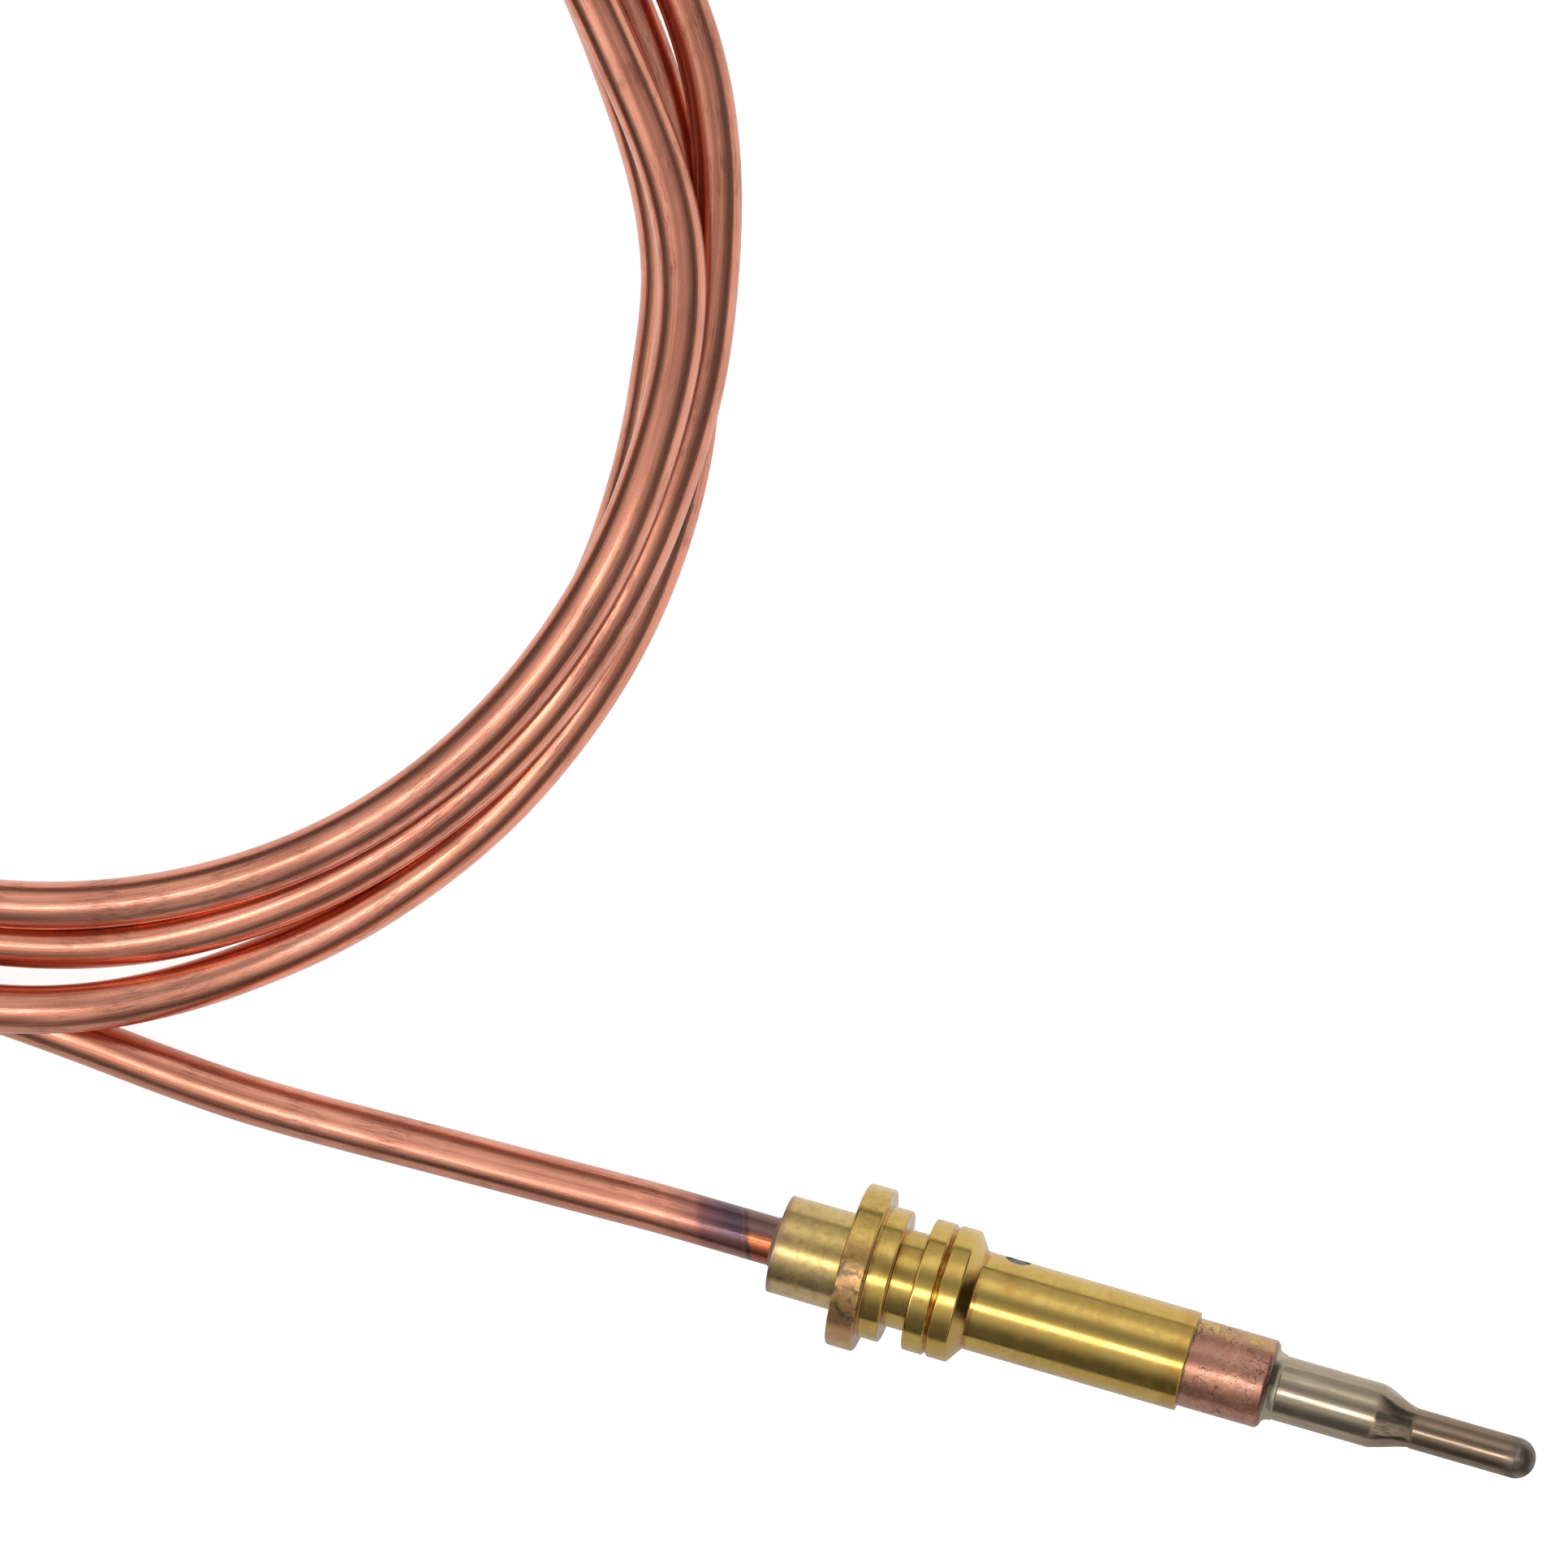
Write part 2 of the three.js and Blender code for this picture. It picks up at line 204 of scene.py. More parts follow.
class ThermocoupleLeadSizes(bpy.types.PropertyGroup):
    """Sizes of the free copper lead."""
    radius: length("Lead radius", "Outer radius of the copper tube", 1.5)
    step: length("Ring spacing", "Distance between the rings of the tube's mesh", 0.8)
    sides: bpy.props.IntProperty(name="Sides", description="Sides of the tube's mesh", default=24, min=8)


class ThermocoupleColdSizes(bpy.types.PropertyGroup):
    """Sizes of the cold end. Stations are measured from the nut's back face."""
    nut_across: length("Across flats", "Union nut across its flats", 10.0)
    nut_hex_end: length("Hexagon end", "Front face of the hexagon", 4.5)
    nut_relief_end: length("Relief end", "Where the thread begins", 5.4)
    nut_relief_radius: length("Relief radius", "Radius behind the thread", 3.9)
    nut_end: length("Nut end", "Front face of the nut", 11.0)
    thread_radius: length("Thread radius", "Crest radius of the thread", 4.5)
    thread_pitch: length("Thread pitch", "Pitch of the thread", 1.0)
    nut_bore_radius: length("Nut bore radius", "Clearance bore for the lead", 1.7)
    seat_start: length("Seat start", "Where the conical seat begins", 9.25)
    seat_radius: length("Seat radius", "Mouth of the conical seat", 3.45)
    ferrule_radius: length("Ferrule radius", "Outer radius of the end ferrule", 3.3)
    ferrule_back_radius: length("Ferrule back radius", "Small end of the ferrule's cone", 1.85)
    ferrule_bore_radius: length("Ferrule bore radius", "Bore brazed on the lead", 1.56)
    washer_radius: length("Washer radius", "Insulating washer", 2.6)
    button_radius: length("Button radius", "Contact button", 2.0)
    button_face_radius: length("Button face radius", "Flat face of the contact button", 1.2)


class ThermocoupleFinishes(bpy.types.PropertyGroup):
    """Colours of the finishes."""
    brass: colour("Brass", "Bright turned brass", (0.70, 0.475, 0.12))
    brass_deep: colour("Brass, deep", "Browner brass in the tool marks", (0.59, 0.375, 0.075))
    heat_pink: colour("Heat-reddened brass", "Brass that brazing has turned copper pink", (0.60, 0.29, 0.175))
    stain: colour("Flux stain", "Brown flux stain in the corners", (0.28, 0.12, 0.035))
    copper: colour("Copper", "Drawn copper", (0.85, 0.335, 0.215))
    copper_light: colour("Copper, light", "Rubbed copper", (0.90, 0.42, 0.295))
    copper_dark: colour("Copper, dark", "Tarnished copper", (0.44, 0.125, 0.068))
    temper_blue: colour("Temper blue", "Blue-grey heat tint on the copper", (0.075, 0.05, 0.085))
    temper_orange: colour("Temper orange", "Orange heat tint beside the boss", (0.80, 0.22, 0.08))
    nickel: colour("Nickel alloy", "Drawn nickel alloy", (0.54, 0.455, 0.325))
    nickel_brown: colour("Nickel alloy, heated", "Nickel alloy browned by the flame", (0.27, 0.19, 0.13))
    braze: colour("Silver braze", "Flowed silver braze", (0.56, 0.50, 0.37))
    # The solder's dark grey is partly its own tone and partly painted shade of the port's recess.
    solder: colour("Solder", "Dull tin solder", (0.22, 0.215, 0.21))
    weld: colour("Weld scale", "Scale on the welded dome", (0.30, 0.255, 0.215))
    fibre: colour("Fibre", "Vulcanised fibre washer", (0.20, 0.05, 0.03))
    ceramic: colour("Ceramic", "Unglazed ceramic tube", (0.80, 0.76, 0.68))
    glass: colour("Glass sleeving", "Braided glass sleeving", (0.72, 0.67, 0.55))
    constantan: colour("Constantan", "Drawn constantan wire", (0.62, 0.56, 0.48))


class ThermocoupleSettings(bpy.types.PropertyGroup):
    """All sizes and finishes of the thermocouple."""
    head: bpy.props.PointerProperty(type=ThermocoupleHeadSizes, name="Head", description="Brass head")
    tip: bpy.props.PointerProperty(type=ThermocoupleTipSizes, name="Tip", description="Sheath and tip")
    lead: bpy.props.PointerProperty(type=ThermocoupleLeadSizes, name="Lead", description="Copper lead")
    cold: bpy.props.PointerProperty(type=ThermocoupleColdSizes, name="Cold end", description="Union")
    finish: bpy.props.PointerProperty(type=ThermocoupleFinishes, name="Finishes", description="Colours")


def settings():
    return bpy.context.scene.thermocouple


# ---------------------------------------------------------------------------------------------
# Shader helpers
# ---------------------------------------------------------------------------------------------


def add_node(tree, kind, inputs=None, **values):
    """Adds a node, sets its own values, then its inputs: a plain value is set and a socket is linked."""
    made = tree.nodes.new(kind)
    for key, value in values.items():
        setattr(made, key, value)
    for key, value in (inputs or {}).items():
        if isinstance(value, bpy.types.NodeSocket):
            tree.links.new(value, made.inputs[key])
        else:
            made.inputs[key].default_value = value
    return made


def maths(tree, operation, first, second=0.0, third=0.0, clamp=False):
    made = add_node(tree, "ShaderNodeMath", {0: first, 1: second, 2: third}, operation=operation)
    made.use_clamp = clamp
    return made.outputs[0]


def vector_maths(tree, operation, first, second):
    inputs = {0: first, 1: second}
    return add_node(tree, "ShaderNodeVectorMath", inputs, operation=operation).outputs[0]


def ramp_value(tree, value, low, high, to_low=0.0, to_high=1.0):
    """A smooth change from one value to another between two input values."""
    inputs = {"Value": value, "From Min": low, "From Max": high, "To Min": to_low, "To Max": to_high}
    return add_node(tree, "ShaderNodeMapRange", inputs, interpolation_type="SMOOTHSTEP").outputs["Result"]


def band(tree, value, start, end, edge):
    """A mask of 1 between two input values, with soft edges."""
    rise = ramp_value(tree, value, start - edge, start + edge)
    fall = ramp_value(tree, value, end - edge, end + edge, 1.0, 0.0)
    return maths(tree, "MULTIPLY", rise, fall)


def band_mm(tree, value, start, end, edge):
    """The same mask, from distances in millimetres."""
    return band(tree, value, start * MM, end * MM, edge * MM)


def ramp_mm(tree, value, low, high, to_low=0.0, to_high=1.0):
    """The same smooth change, between two distances in millimetres."""
    return ramp_value(tree, value, low * MM, high * MM, to_low, to_high)


def add_share(tree, value, share, base):
    """Adds a share of one value to another."""
    return maths(tree, "MULTIPLY_ADD", value, share, base)


def mix_colour(tree, mask, first, second):
    """A colour that goes from the first to the second as the mask goes from 0 to 1."""
    made = add_node(tree, "ShaderNodeMix", data_type="RGBA", blend_type="MIX")
    sockets = {0: mask, 6: first, 7: second}
    for index, value in sockets.items():
        if isinstance(value, bpy.types.NodeSocket):
            tree.links.new(value, made.inputs[index])
        elif index == 0:
            made.inputs[index].default_value = value
        else:
            made.inputs[index].default_value = (*value, 1.0)
    return made.outputs[2]


def tint(tree, mask, amount, base, shade):
    """Mixes a shade over a base colour where a mask is 1, as strongly as the amount says."""
    return mix_colour(tree, maths(tree, "MULTIPLY", mask, amount), base, shade)


def both(tree, *masks):
    """Where all the masks overlap."""
    product = masks[0]
    for mask in masks[1:]:
        product = maths(tree, "MULTIPLY", product, mask)
    return product


def new_group(name, inputs, outputs):
    """A shader node group with named sockets, and its input and output nodes."""
    tree = bpy.data.node_groups.new(name, "ShaderNodeTree")
    for label, kind, default in inputs:
        socket = tree.interface.new_socket(name=label, in_out="INPUT", socket_type=kind)
        if default is not None:
            socket.default_value = default
    for label, kind in outputs:
        tree.interface.new_socket(name=label, in_out="OUTPUT", socket_type=kind)
    return tree, tree.nodes.new("NodeGroupInput"), tree.nodes.new("NodeGroupOutput")


def place_group(tree, name, inputs):
    return add_node(tree, "ShaderNodeGroup", inputs, node_tree=bpy.data.node_groups[name])


def grain_group():
    """Soft patches at any scale: noise squeezed between two thresholds."""
    sockets = [("Vector", "NodeSocketVector", None), ("Scale", "NodeSocketFloat", 100.0),
               ("Detail", "NodeSocketFloat", 4.0), ("Low", "NodeSocketFloat", 0.4),
               ("High", "NodeSocketFloat", 0.6)]
    tree, source, target = new_group("Patches", sockets, [("Mask", "NodeSocketFloat")])
    pattern = add_node(tree, "ShaderNodeTexNoise", {"Vector": source.outputs["Vector"],
                                                   "Scale": source.outputs["Scale"],
                                                   "Detail": source.outputs["Detail"]})
    mask = ramp_value(tree, pattern.outputs["Fac"], source.outputs["Low"], source.outputs["High"])
    tree.links.new(mask, target.inputs["Mask"])


def turned_group():
    """Fine rings left by a lathe tool: noise that changes only along the axis."""
    sockets = [("Along", "NodeSocketFloat", 0.0), ("Rings", "NodeSocketFloat", 6000.0)]
    outputs = [("Height", "NodeSocketFloat"), ("Mask", "NodeSocketFloat")]
    tree, source, target = new_group("Tool rings", sockets, outputs)
    place = maths(tree, "MULTIPLY", source.outputs["Along"], source.outputs["Rings"])
    fine = add_node(tree, "ShaderNodeTexNoise", {"W": place, "Scale": 1.0, "Detail": 3.0},
                    noise_dimensions="1D")
    slow = add_node(tree, "ShaderNodeTexNoise", {"W": place, "Scale": 0.13, "Detail": 2.0},
                    noise_dimensions="1D")
    tree.links.new(fine.outputs["Fac"], target.inputs["Height"])
    mask = ramp_value(tree, slow.outputs["Fac"], 0.4, 0.62)
    tree.links.new(mask, target.inputs["Mask"])


def draw_line_group():
    """Long scratches along a drawn tube, from its own UV map: U runs round it and V along it."""
    sockets = [("Vector", "NodeSocketVector", None), ("Round", "NodeSocketFloat", 6.0),
               ("Along", "NodeSocketFloat", 0.6)]
    outputs = [("Height", "NodeSocketFloat"), ("Mask", "NodeSocketFloat"), ("Vector", "NodeSocketVector")]
    tree, source, target = new_group("Draw lines", sockets, outputs)
    parts = add_node(tree, "ShaderNodeSeparateXYZ", {0: source.outputs["Vector"]})
    angle = maths(tree, "MULTIPLY", parts.outputs[0], 2 * math.pi)
    across = maths(tree, "MULTIPLY", maths(tree, "COSINE", angle), source.outputs["Round"])
    above = maths(tree, "MULTIPLY", maths(tree, "SINE", angle), source.outputs["Round"])
    along = maths(tree, "MULTIPLY", parts.outputs[1], source.outputs["Along"])
    place = add_node(tree, "ShaderNodeCombineXYZ", {"X": across, "Y": above, "Z": along})
    tree.links.new(place.outputs[0], target.inputs["Vector"])
    lines = add_node(tree, "ShaderNodeTexNoise", {"Vector": place.outputs[0], "Scale": 1.0, "Detail": 5.0,
                                                 "Roughness": 0.62})
    tree.links.new(lines.outputs["Fac"], target.inputs["Height"])
    tree.links.new(ramp_value(tree, lines.outputs["Fac"], 0.42, 0.66), target.inputs["Mask"])


def speck_group():
    """Small pits and specks: the cores of cells, present only where a second noise allows."""
    sockets = [("Vector", "NodeSocketVector", None), ("Scale", "NodeSocketFloat", 1500.0),
               ("Size", "NodeSocketFloat", 0.25), ("Cover", "NodeSocketFloat", 0.5)]
    tree, source, target = new_group("Specks", sockets, [("Mask", "NodeSocketFloat")])
    cells = add_node(tree, "ShaderNodeTexVoronoi", {"Vector": source.outputs["Vector"],
                                                   "Scale": source.outputs["Scale"]})
    core = ramp_value(tree, cells.outputs["Distance"], 0.0, source.outputs["Size"], 1.0, 0.0)
    pick = add_node(tree, "ShaderNodeSeparateXYZ", {0: cells.outputs["Color"]})
    chosen = maths(tree, "LESS_THAN", pick.outputs[0], source.outputs["Cover"])
    tree.links.new(maths(tree, "MULTIPLY", core, chosen), target.inputs["Mask"])


def new_material(name):
    """A material with an empty Principled shader, and its node tree."""
    made = bpy.data.materials.new(name)
    made.use_nodes = True
    tree = made.node_tree
    shader = next(item for item in tree.nodes if item.type == "BSDF_PRINCIPLED")
    return made, tree, shader


def plug(tree, value, socket):
    if isinstance(value, bpy.types.NodeSocket):
        tree.links.new(value, socket)
    elif socket.type == "RGBA":
        socket.default_value = (*value, 1.0)
    else:
        socket.default_value = value


COAT_ROUGHNESS = 0.16


def finish_shader(tree, shader, base, rough, metal, height, depth, coat=0.0, gloss=0.5):
    """Connects colour, roughness, metal and relief. Depth is the relief's height in metres, coat is the
    weight of the clear sheen on top, and gloss is how strongly the parts that aren't metal reflect."""
    plug(tree, coat, shader.inputs["Coat Weight"])
    plug(tree, COAT_ROUGHNESS, shader.inputs["Coat Roughness"])
    plug(tree, gloss, shader.inputs["Specular IOR Level"])
    plug(tree, base, shader.inputs["Base Color"])
    plug(tree, rough, shader.inputs["Roughness"])
    plug(tree, metal, shader.inputs["Metallic"])
    bump = add_node(tree, "ShaderNodeBump", {"Height": height, "Distance": depth, "Strength": 1.0})
    tree.links.new(bump.outputs["Normal"], shader.inputs["Normal"])


def blend_value(tree, share, first, second):
    """A value that goes from the first to the second as the share goes from 0 to 1."""
    return add_share(tree, maths(tree, "SUBTRACT", second, first), share, first)


def lean_angle(tree, across, up):
    """How far a direction leans from straight up, in degrees."""
    return maths(tree, "MULTIPLY", maths(tree, "ARCTAN2", across, up), 180 / math.pi)


def level_ramp(tree, angle, stops):
    """A brightness that changes with an angle from -180 to 180 degrees. A ramp holds colours from 0 to 1,
    so the levels are kept as shares of the highest one."""
    top = 8.0
    ramp = tree.nodes.new("ShaderNodeValToRGB")
    tree.links.new(add_share(tree, angle, 1 / 360, 0.5), ramp.inputs[0])
    ramp.color_ramp.interpolation = "LINEAR"
    points = ramp.color_ramp.elements
    while len(points) < len(stops):
        points.new(0.5)
    for point, (degrees, _) in zip(points, stops):
        point.position = degrees / 360 + 0.5
    for point, (_, level) in zip(points, stops):
        point.color = (level / top, level / top, level / top, 1.0)
    return maths(tree, "MULTIPLY", ramp.outputs["Color"], top)


def object_place(tree):
    return add_node(tree, "ShaderNodeTexCoord").outputs["Object"]


def patches(tree, place, scale, low, high, detail=4.0):
    inputs = {"Vector": place, "Scale": scale, "Low": low, "High": high, "Detail": detail}
    return place_group(tree, "Patches", inputs).outputs["Mask"]


def specks(tree, place, scale, size, cover):
    inputs = {"Vector": place, "Scale": scale, "Size": size, "Cover": cover}
    return place_group(tree, "Specks", inputs).outputs["Mask"]


# ---------------------------------------------------------------------------------------------
# Finishes
# ---------------------------------------------------------------------------------------------


def on_axis(tree, end):
    """Object coordinates measured from the head's boss or the nut's back face, with the axis along X."""
    start = (BOSS_X, 0, AXIS_Z) if end == "head" else (COLD_X, COLD_Y, COLD_Z)
    moved = vector_maths(tree, "SUBTRACT", object_place(tree), start)
    if end == "head":
        return moved
    parts = add_node(tree, "ShaderNodeSeparateXYZ", {0: moved})
    inputs = {"X": parts.outputs[1], "Y": parts.outputs[0], "Z": parts.outputs[2]}
    return add_node(tree, "ShaderNodeCombineXYZ", inputs).outputs[0]


def station_and_radius(tree, vector):
    parts = add_node(tree, "ShaderNodeSeparateXYZ", {0: vector})
    across = add_node(tree, "ShaderNodeCombineXYZ", {"Y": parts.outputs[1], "Z": parts.outputs[2]})
    radius = add_node(tree, "ShaderNodeVectorMath", {0: across.outputs[0]}, operation="LENGTH")
    return parts.outputs[0], radius.outputs["Value"], parts.outputs[1], parts.outputs[2]


def turned_brass(tree, vector, station, radius):
    """Lathe-turned brass: colour, roughness and relief."""
    tone = settings().finish
    along = maths(tree, "ADD", station, radius)
    rings = place_group(tree, "Tool rings", {"Along": along, "Rings": 7000.0})
    cloudy = patches(tree, vector, 420.0, 0.36, 0.68, 6.0)
    base = tint(tree, cloudy, 0.45, tone.brass, tone.brass_deep)
    base = tint(tree, rings.outputs["Mask"], 0.30, base, tone.brass_deep)
    mottle = patches(tree, vector, 1900.0, 0.48, 0.66, 6.0)
    base = tint(tree, mottle, 0.16, base, (0.42, 0.235, 0.045))
    base = tint(tree, specks(tree, vector, 2600.0, 0.26, 0.08), 0.6, base, tone.stain)
    rough = add_share(tree, cloudy, 0.03, 0.145)
    rough = add_share(tree, rings.outputs["Mask"], 0.03, rough)
    rough = add_share(tree, mottle, 0.05, rough)
    return base, rough, rings.outputs["Height"]


def make_cold_brass():
    made, tree, shader = new_material("nut_brass")
    vector = on_axis(tree, "cold")
    station, radius, _, _ = station_and_radius(tree, vector)
    base, rough, height = turned_brass(tree, vector, station, radius)
    finish_shader(tree, shader, base, rough, 1.0, height, 1.4e-6, coat=0.5)
    return made


# Where the flux stain lies on the head, as stations in millimetres.
STAINED_CORNERS = ((4.2, 4.45), (6.0, 6.25), (7.35, 7.55), (8.72, 8.95), (10.1, 10.48), (12.3, 12.7))


def head_patterns(tree):
    """The places and the patches that all parts of the brass head share."""
    vector = on_axis(tree, "head")
    station, radius, side, _ = station_and_radius(tree, vector)
    return SimpleNamespace(
        vector=vector, station=station, radius=radius, side=side,
        ragged=patches(tree, vector, 1300.0, 0.34, 0.62),
        mottled=patches(tree, vector, 1100.0, 0.34, 0.60, 8.0),
        large=patches(tree, vector, 260.0, 0.34, 0.62, 5.0),
        fine=patches(tree, vector, 2400.0, 0.46, 0.64, 7.0),
    )


def flux_stains(tree, at, base):
    """Brown flux stain in the corners, the clip groove and the fine groove, on the cone and in drops."""
    corners = None
    for start, end in STAINED_CORNERS:
        here = band_mm(tree, at.station, start, end, 0.09)
        corners = here if corners is None else maths(tree, "MAXIMUM", corners, here)
    base = tint(tree, both(tree, corners, at.ragged), 0.75, base, (0.42, 0.17, 0.03))
    groove = both(tree, band_mm(tree, at.station, 7.4, 8.9, 0.05),
                  patches(tree, at.vector, 700.0, 0.40, 0.64))
    base = tint(tree, groove, 0.40, base, (0.46, 0.22, 0.035))
    # A dark stain lies on the cone, and a warm one runs back from the sleeve's front edge.
    cone = both(tree, band_mm(tree, at.station, 11.72, 12.42, 0.06),
                band_mm(tree, at.side, -1.25, 1.75, 0.3))
    base = tint(tree, cone, 0.80, base, (0.17, 0.085, 0.016))
    front = both(tree, band_mm(tree, at.station, 24.7, 25.9, 0.5), at.large)
    base = tint(tree, front, 0.65, base, (0.55, 0.26, 0.04))

    # Orange drops of stain on the collars and low on the sleeve.
    drops = both(tree, specks(tree, at.vector, 560.0, 0.40, 0.26),
                 ramp_mm(tree, at.side, -0.6, 0.4, 0.55, 1.0))
    base = tint(tree, drops, 0.55, base, (0.48, 0.22, 0.035))
    return base


def boss_patina(tree, at, base):
    """Olive mottling all over the boss and the flange, denser toward the back, and the duller boss, lighter
    low down partly with painted light.
    """
    back = ramp_mm(tree, at.station, 5.6, 8.5, 1.0, 0.12)
    # The boss is duller and paler than the rest; low down it is lighter, partly a paler pinker tone and
    # partly painted light; and its rim is heated grey-pink.
    pale = ramp_mm(tree, at.station, 3.8, 4.6, 1.0, 0.0)
    base = tint(tree, pale, 0.65, base, (0.68, 0.50, 0.19))
    low = both(tree, pale, ramp_mm(tree, at.side, -1.8, 0.4, 1.0, 0.1), at.large)
    base = tint(tree, low, 0.50, base, (0.76, 0.54, 0.30))
    base = tint(tree, both(tree, at.fine, back), 0.32, base, (0.34, 0.20, 0.055))
    rim = ramp_mm(tree, at.station, 0.08, 0.50, 1.0, 0.0)
    base = tint(tree, rim, 0.75, base, (0.34, 0.20, 0.16))
    flank = both(tree, ramp_mm(tree, at.station, 0.3, 2.4, 1.0, 0.0), at.mottled)
    base = tint(tree, flank, 0.30, base, (0.58, 0.37, 0.22))
    return base, pale, rim


def flange_heat(tree, at, base):
    """The flange is heated copper pink, more and more toward one side, with dark patches in the middle that
    are partly scale and partly painted dark reflection.
    """
    on_flange = band_mm(tree, at.station, 4.36, 6.06, 0.03)
    flushed = both(tree, on_flange, ramp_mm(tree, at.side, 0.2, 2.6, 1.0, 0.12),
                   ramp_value(tree, at.mottled, 0.0, 1.0, 0.35, 1.0))
    base = tint(tree, flushed, 0.80, base, (0.58, 0.30, 0.145))
    # Dark patches across the middle: partly scale, partly painted dark reflection.
    scale_and_painted_reflection = both(tree, on_flange, patches(tree, at.vector, 1500.0, 0.46, 0.62, 8.0),
                  band_mm(tree, at.side, -3.3, 0.9, 0.7))
    base = tint(tree, scale_and_painted_reflection, 0.75, base, (0.11, 0.075, 0.04))
    green = both(tree, on_flange, specks(tree, at.vector, 4200.0, 0.42, 0.40),
                 band_mm(tree, at.side, -1.5, -0.5, 0.3))
    base = tint(tree, green, 0.80, base, (0.035, 0.07, 0.05))
    return base, flushed, scale_and_painted_reflection


def nose_skin(tree, at, base):
    """The nose is copper pink all over, with gold left along one side, dark pits, fine cracks and painted
    shade at its mouth.
    """
    tone = settings().finish
    edge = add_share(tree, at.ragged, 0.12 * MM, at.station)
    nose = ramp_mm(tree, edge, 25.84, 25.96)
    pink = tint(tree, at.mottled, 0.55, tone.heat_pink, (0.47, 0.185, 0.15))
    pink = tint(tree, at.fine, 0.40, pink, (0.68, 0.40, 0.29))
    smudge = both(tree, at.large, ramp_mm(tree, at.side, -0.8, 1.6, 0.25, 1.0))
    pink = tint(tree, smudge, 0.50, pink, (0.30, 0.13, 0.12))
    gold = both(tree, ramp_mm(tree, at.side, 1.75, 2.35), at.mottled)
    pink = tint(tree, gold, 0.85, pink, tone.brass)
    pits = both(tree, specks(tree, at.vector, 4400.0, 0.40, 0.60),
                patches(tree, at.vector, 480.0, 0.34, 0.58, 4.0))
    pink = tint(tree, pits, 0.80, pink, (0.13, 0.04, 0.03))
    worm_noise = add_node(tree, "ShaderNodeTexNoise", {"Vector": at.vector, "Scale": 1100.0, "Detail": 3.0})
    worm = maths(tree, "ABSOLUTE", maths(tree, "SUBTRACT", worm_noise.outputs["Fac"], 0.5))
    worm = both(tree, ramp_value(tree, worm, 0.004, 0.020, 1.0, 0.0),
                patches(tree, at.vector, 600.0, 0.44, 0.56, 2.0))
    pink = tint(tree, worm, 0.75, pink, (0.13, 0.04, 0.03))
    base = mix_colour(tree, nose, base, pink)
    step = band_mm(tree, at.station, 25.76, 25.90, 0.03)
    base = tint(tree, step, 0.60, base, (0.20, 0.09, 0.03))
    # Painted shade darkens the nose's chamfered mouth.
    mouth_painted_shade = ramp_mm(tree, edge, 30.62, 30.80)
    base = tint(tree, mouth_painted_shade, 0.65, base, (0.16, 0.08, 0.06))
    return base, nose, both(tree, maths(tree, "MAXIMUM", pits, worm), nose)


def make_head_brass():
    made, tree, shader = new_material("head_brass")
    at = head_patterns(tree)
    base, rough, height = turned_brass(tree, at.vector, at.station, at.radius)
    base = flux_stains(tree, at, base)
    base, pale, rim = boss_patina(tree, at, base)
    base, flushed, scale_and_painted_reflection = flange_heat(tree, at, base)
    base, nose, holes = nose_skin(tree, at, base)

    rough = add_share(tree, maths(tree, "MAXIMUM", nose, flushed), 0.15, rough)
    rough = add_share(tree, pale, 0.08, rough)
    rough = add_share(tree, maths(tree, "MAXIMUM", scale_and_painted_reflection, rim), 0.08, rough)
    rough = add_share(tree, holes, 0.12, rough)
    height = add_share(tree, holes, -5.0, height)
    rough_skin = both(tree, maths(tree, "MAXIMUM", nose, flushed), maths(tree, "ADD", at.mottled, at.fine))
    height = add_share(tree, rough_skin, 3.0, height)
    finish_shader(tree, shader, base, rough, 1.0, height, 1.6e-6, coat=0.4)
    return made


def make_nickel():
    tone = settings().finish
    made, tree, shader = new_material("sheath_nickel")
    vector = on_axis(tree, "head")
    station, _, side, up = station_and_radius(tree, vector)
    stretched = vector_maths(tree, "MULTIPLY", vector, (0.06, 1.0, 1.0))
    lines = patches(tree, stretched, 5200.0, 0.36, 0.66, 5.0)
    broad = patches(tree, stretched, 1100.0, 0.38, 0.62, 3.0)
    base = tint(tree, broad, 0.25, tone.nickel, tone.nickel_brown)
    base = tint(tree, lines, 0.30, base, tone.nickel_brown)
    cloudy = patches(tree, vector, 600.0, 0.35, 0.65, 6.0)
    heated = ramp_mm(tree, station, 35.0, 41.0, 0.0, 0.85)
    heated = maths(tree, "MULTIPLY_ADD", cloudy, 0.15, heated, clamp=True)
    base = mix_colour(tree, heated, base, tone.nickel_brown)
    # Painted shade darkens the upper half of the jaws' flats, and a rubbed brown lies below it.
    swage = band_mm(tree, station, 37.5, 39.7, 0.05)
    scale = both(tree, swage, band_mm(tree, side, -0.08, 0.44, 0.10), ramp_mm(tree, up, 0.0, 0.2))
    base = tint(tree, scale, 0.80, base, (0.075, 0.058, 0.045))
    rubbed = both(tree, swage, band_mm(tree, side, -0.85, -0.08, 0.12), lines)
    base = tint(tree, rubbed, 0.55, base, (0.16, 0.105, 0.07))
    # The weld's heat has dulled the last of the tip.
    dulled = ramp_mm(tree, add_share(tree, cloudy, 0.3 * MM, station), 45.2, 46.3)
    base = tint(tree, dulled, 0.75, base, (0.20, 0.155, 0.125))
    flecks = specks(tree, vector, 3800.0, 0.28, 0.12)
    base = tint(tree, flecks, 0.5, base, (0.10, 0.07, 0.06))
    rough = add_share(tree, cloudy, 0.04, 0.16)
    rough = add_share(tree, lines, 0.05, rough)
    rough = add_share(tree, maths(tree, "MAXIMUM", scale, dulled), 0.22, rough)
    finish_shader(tree, shader, base, rough, 1.0, lines, 1.6e-6)
    return made


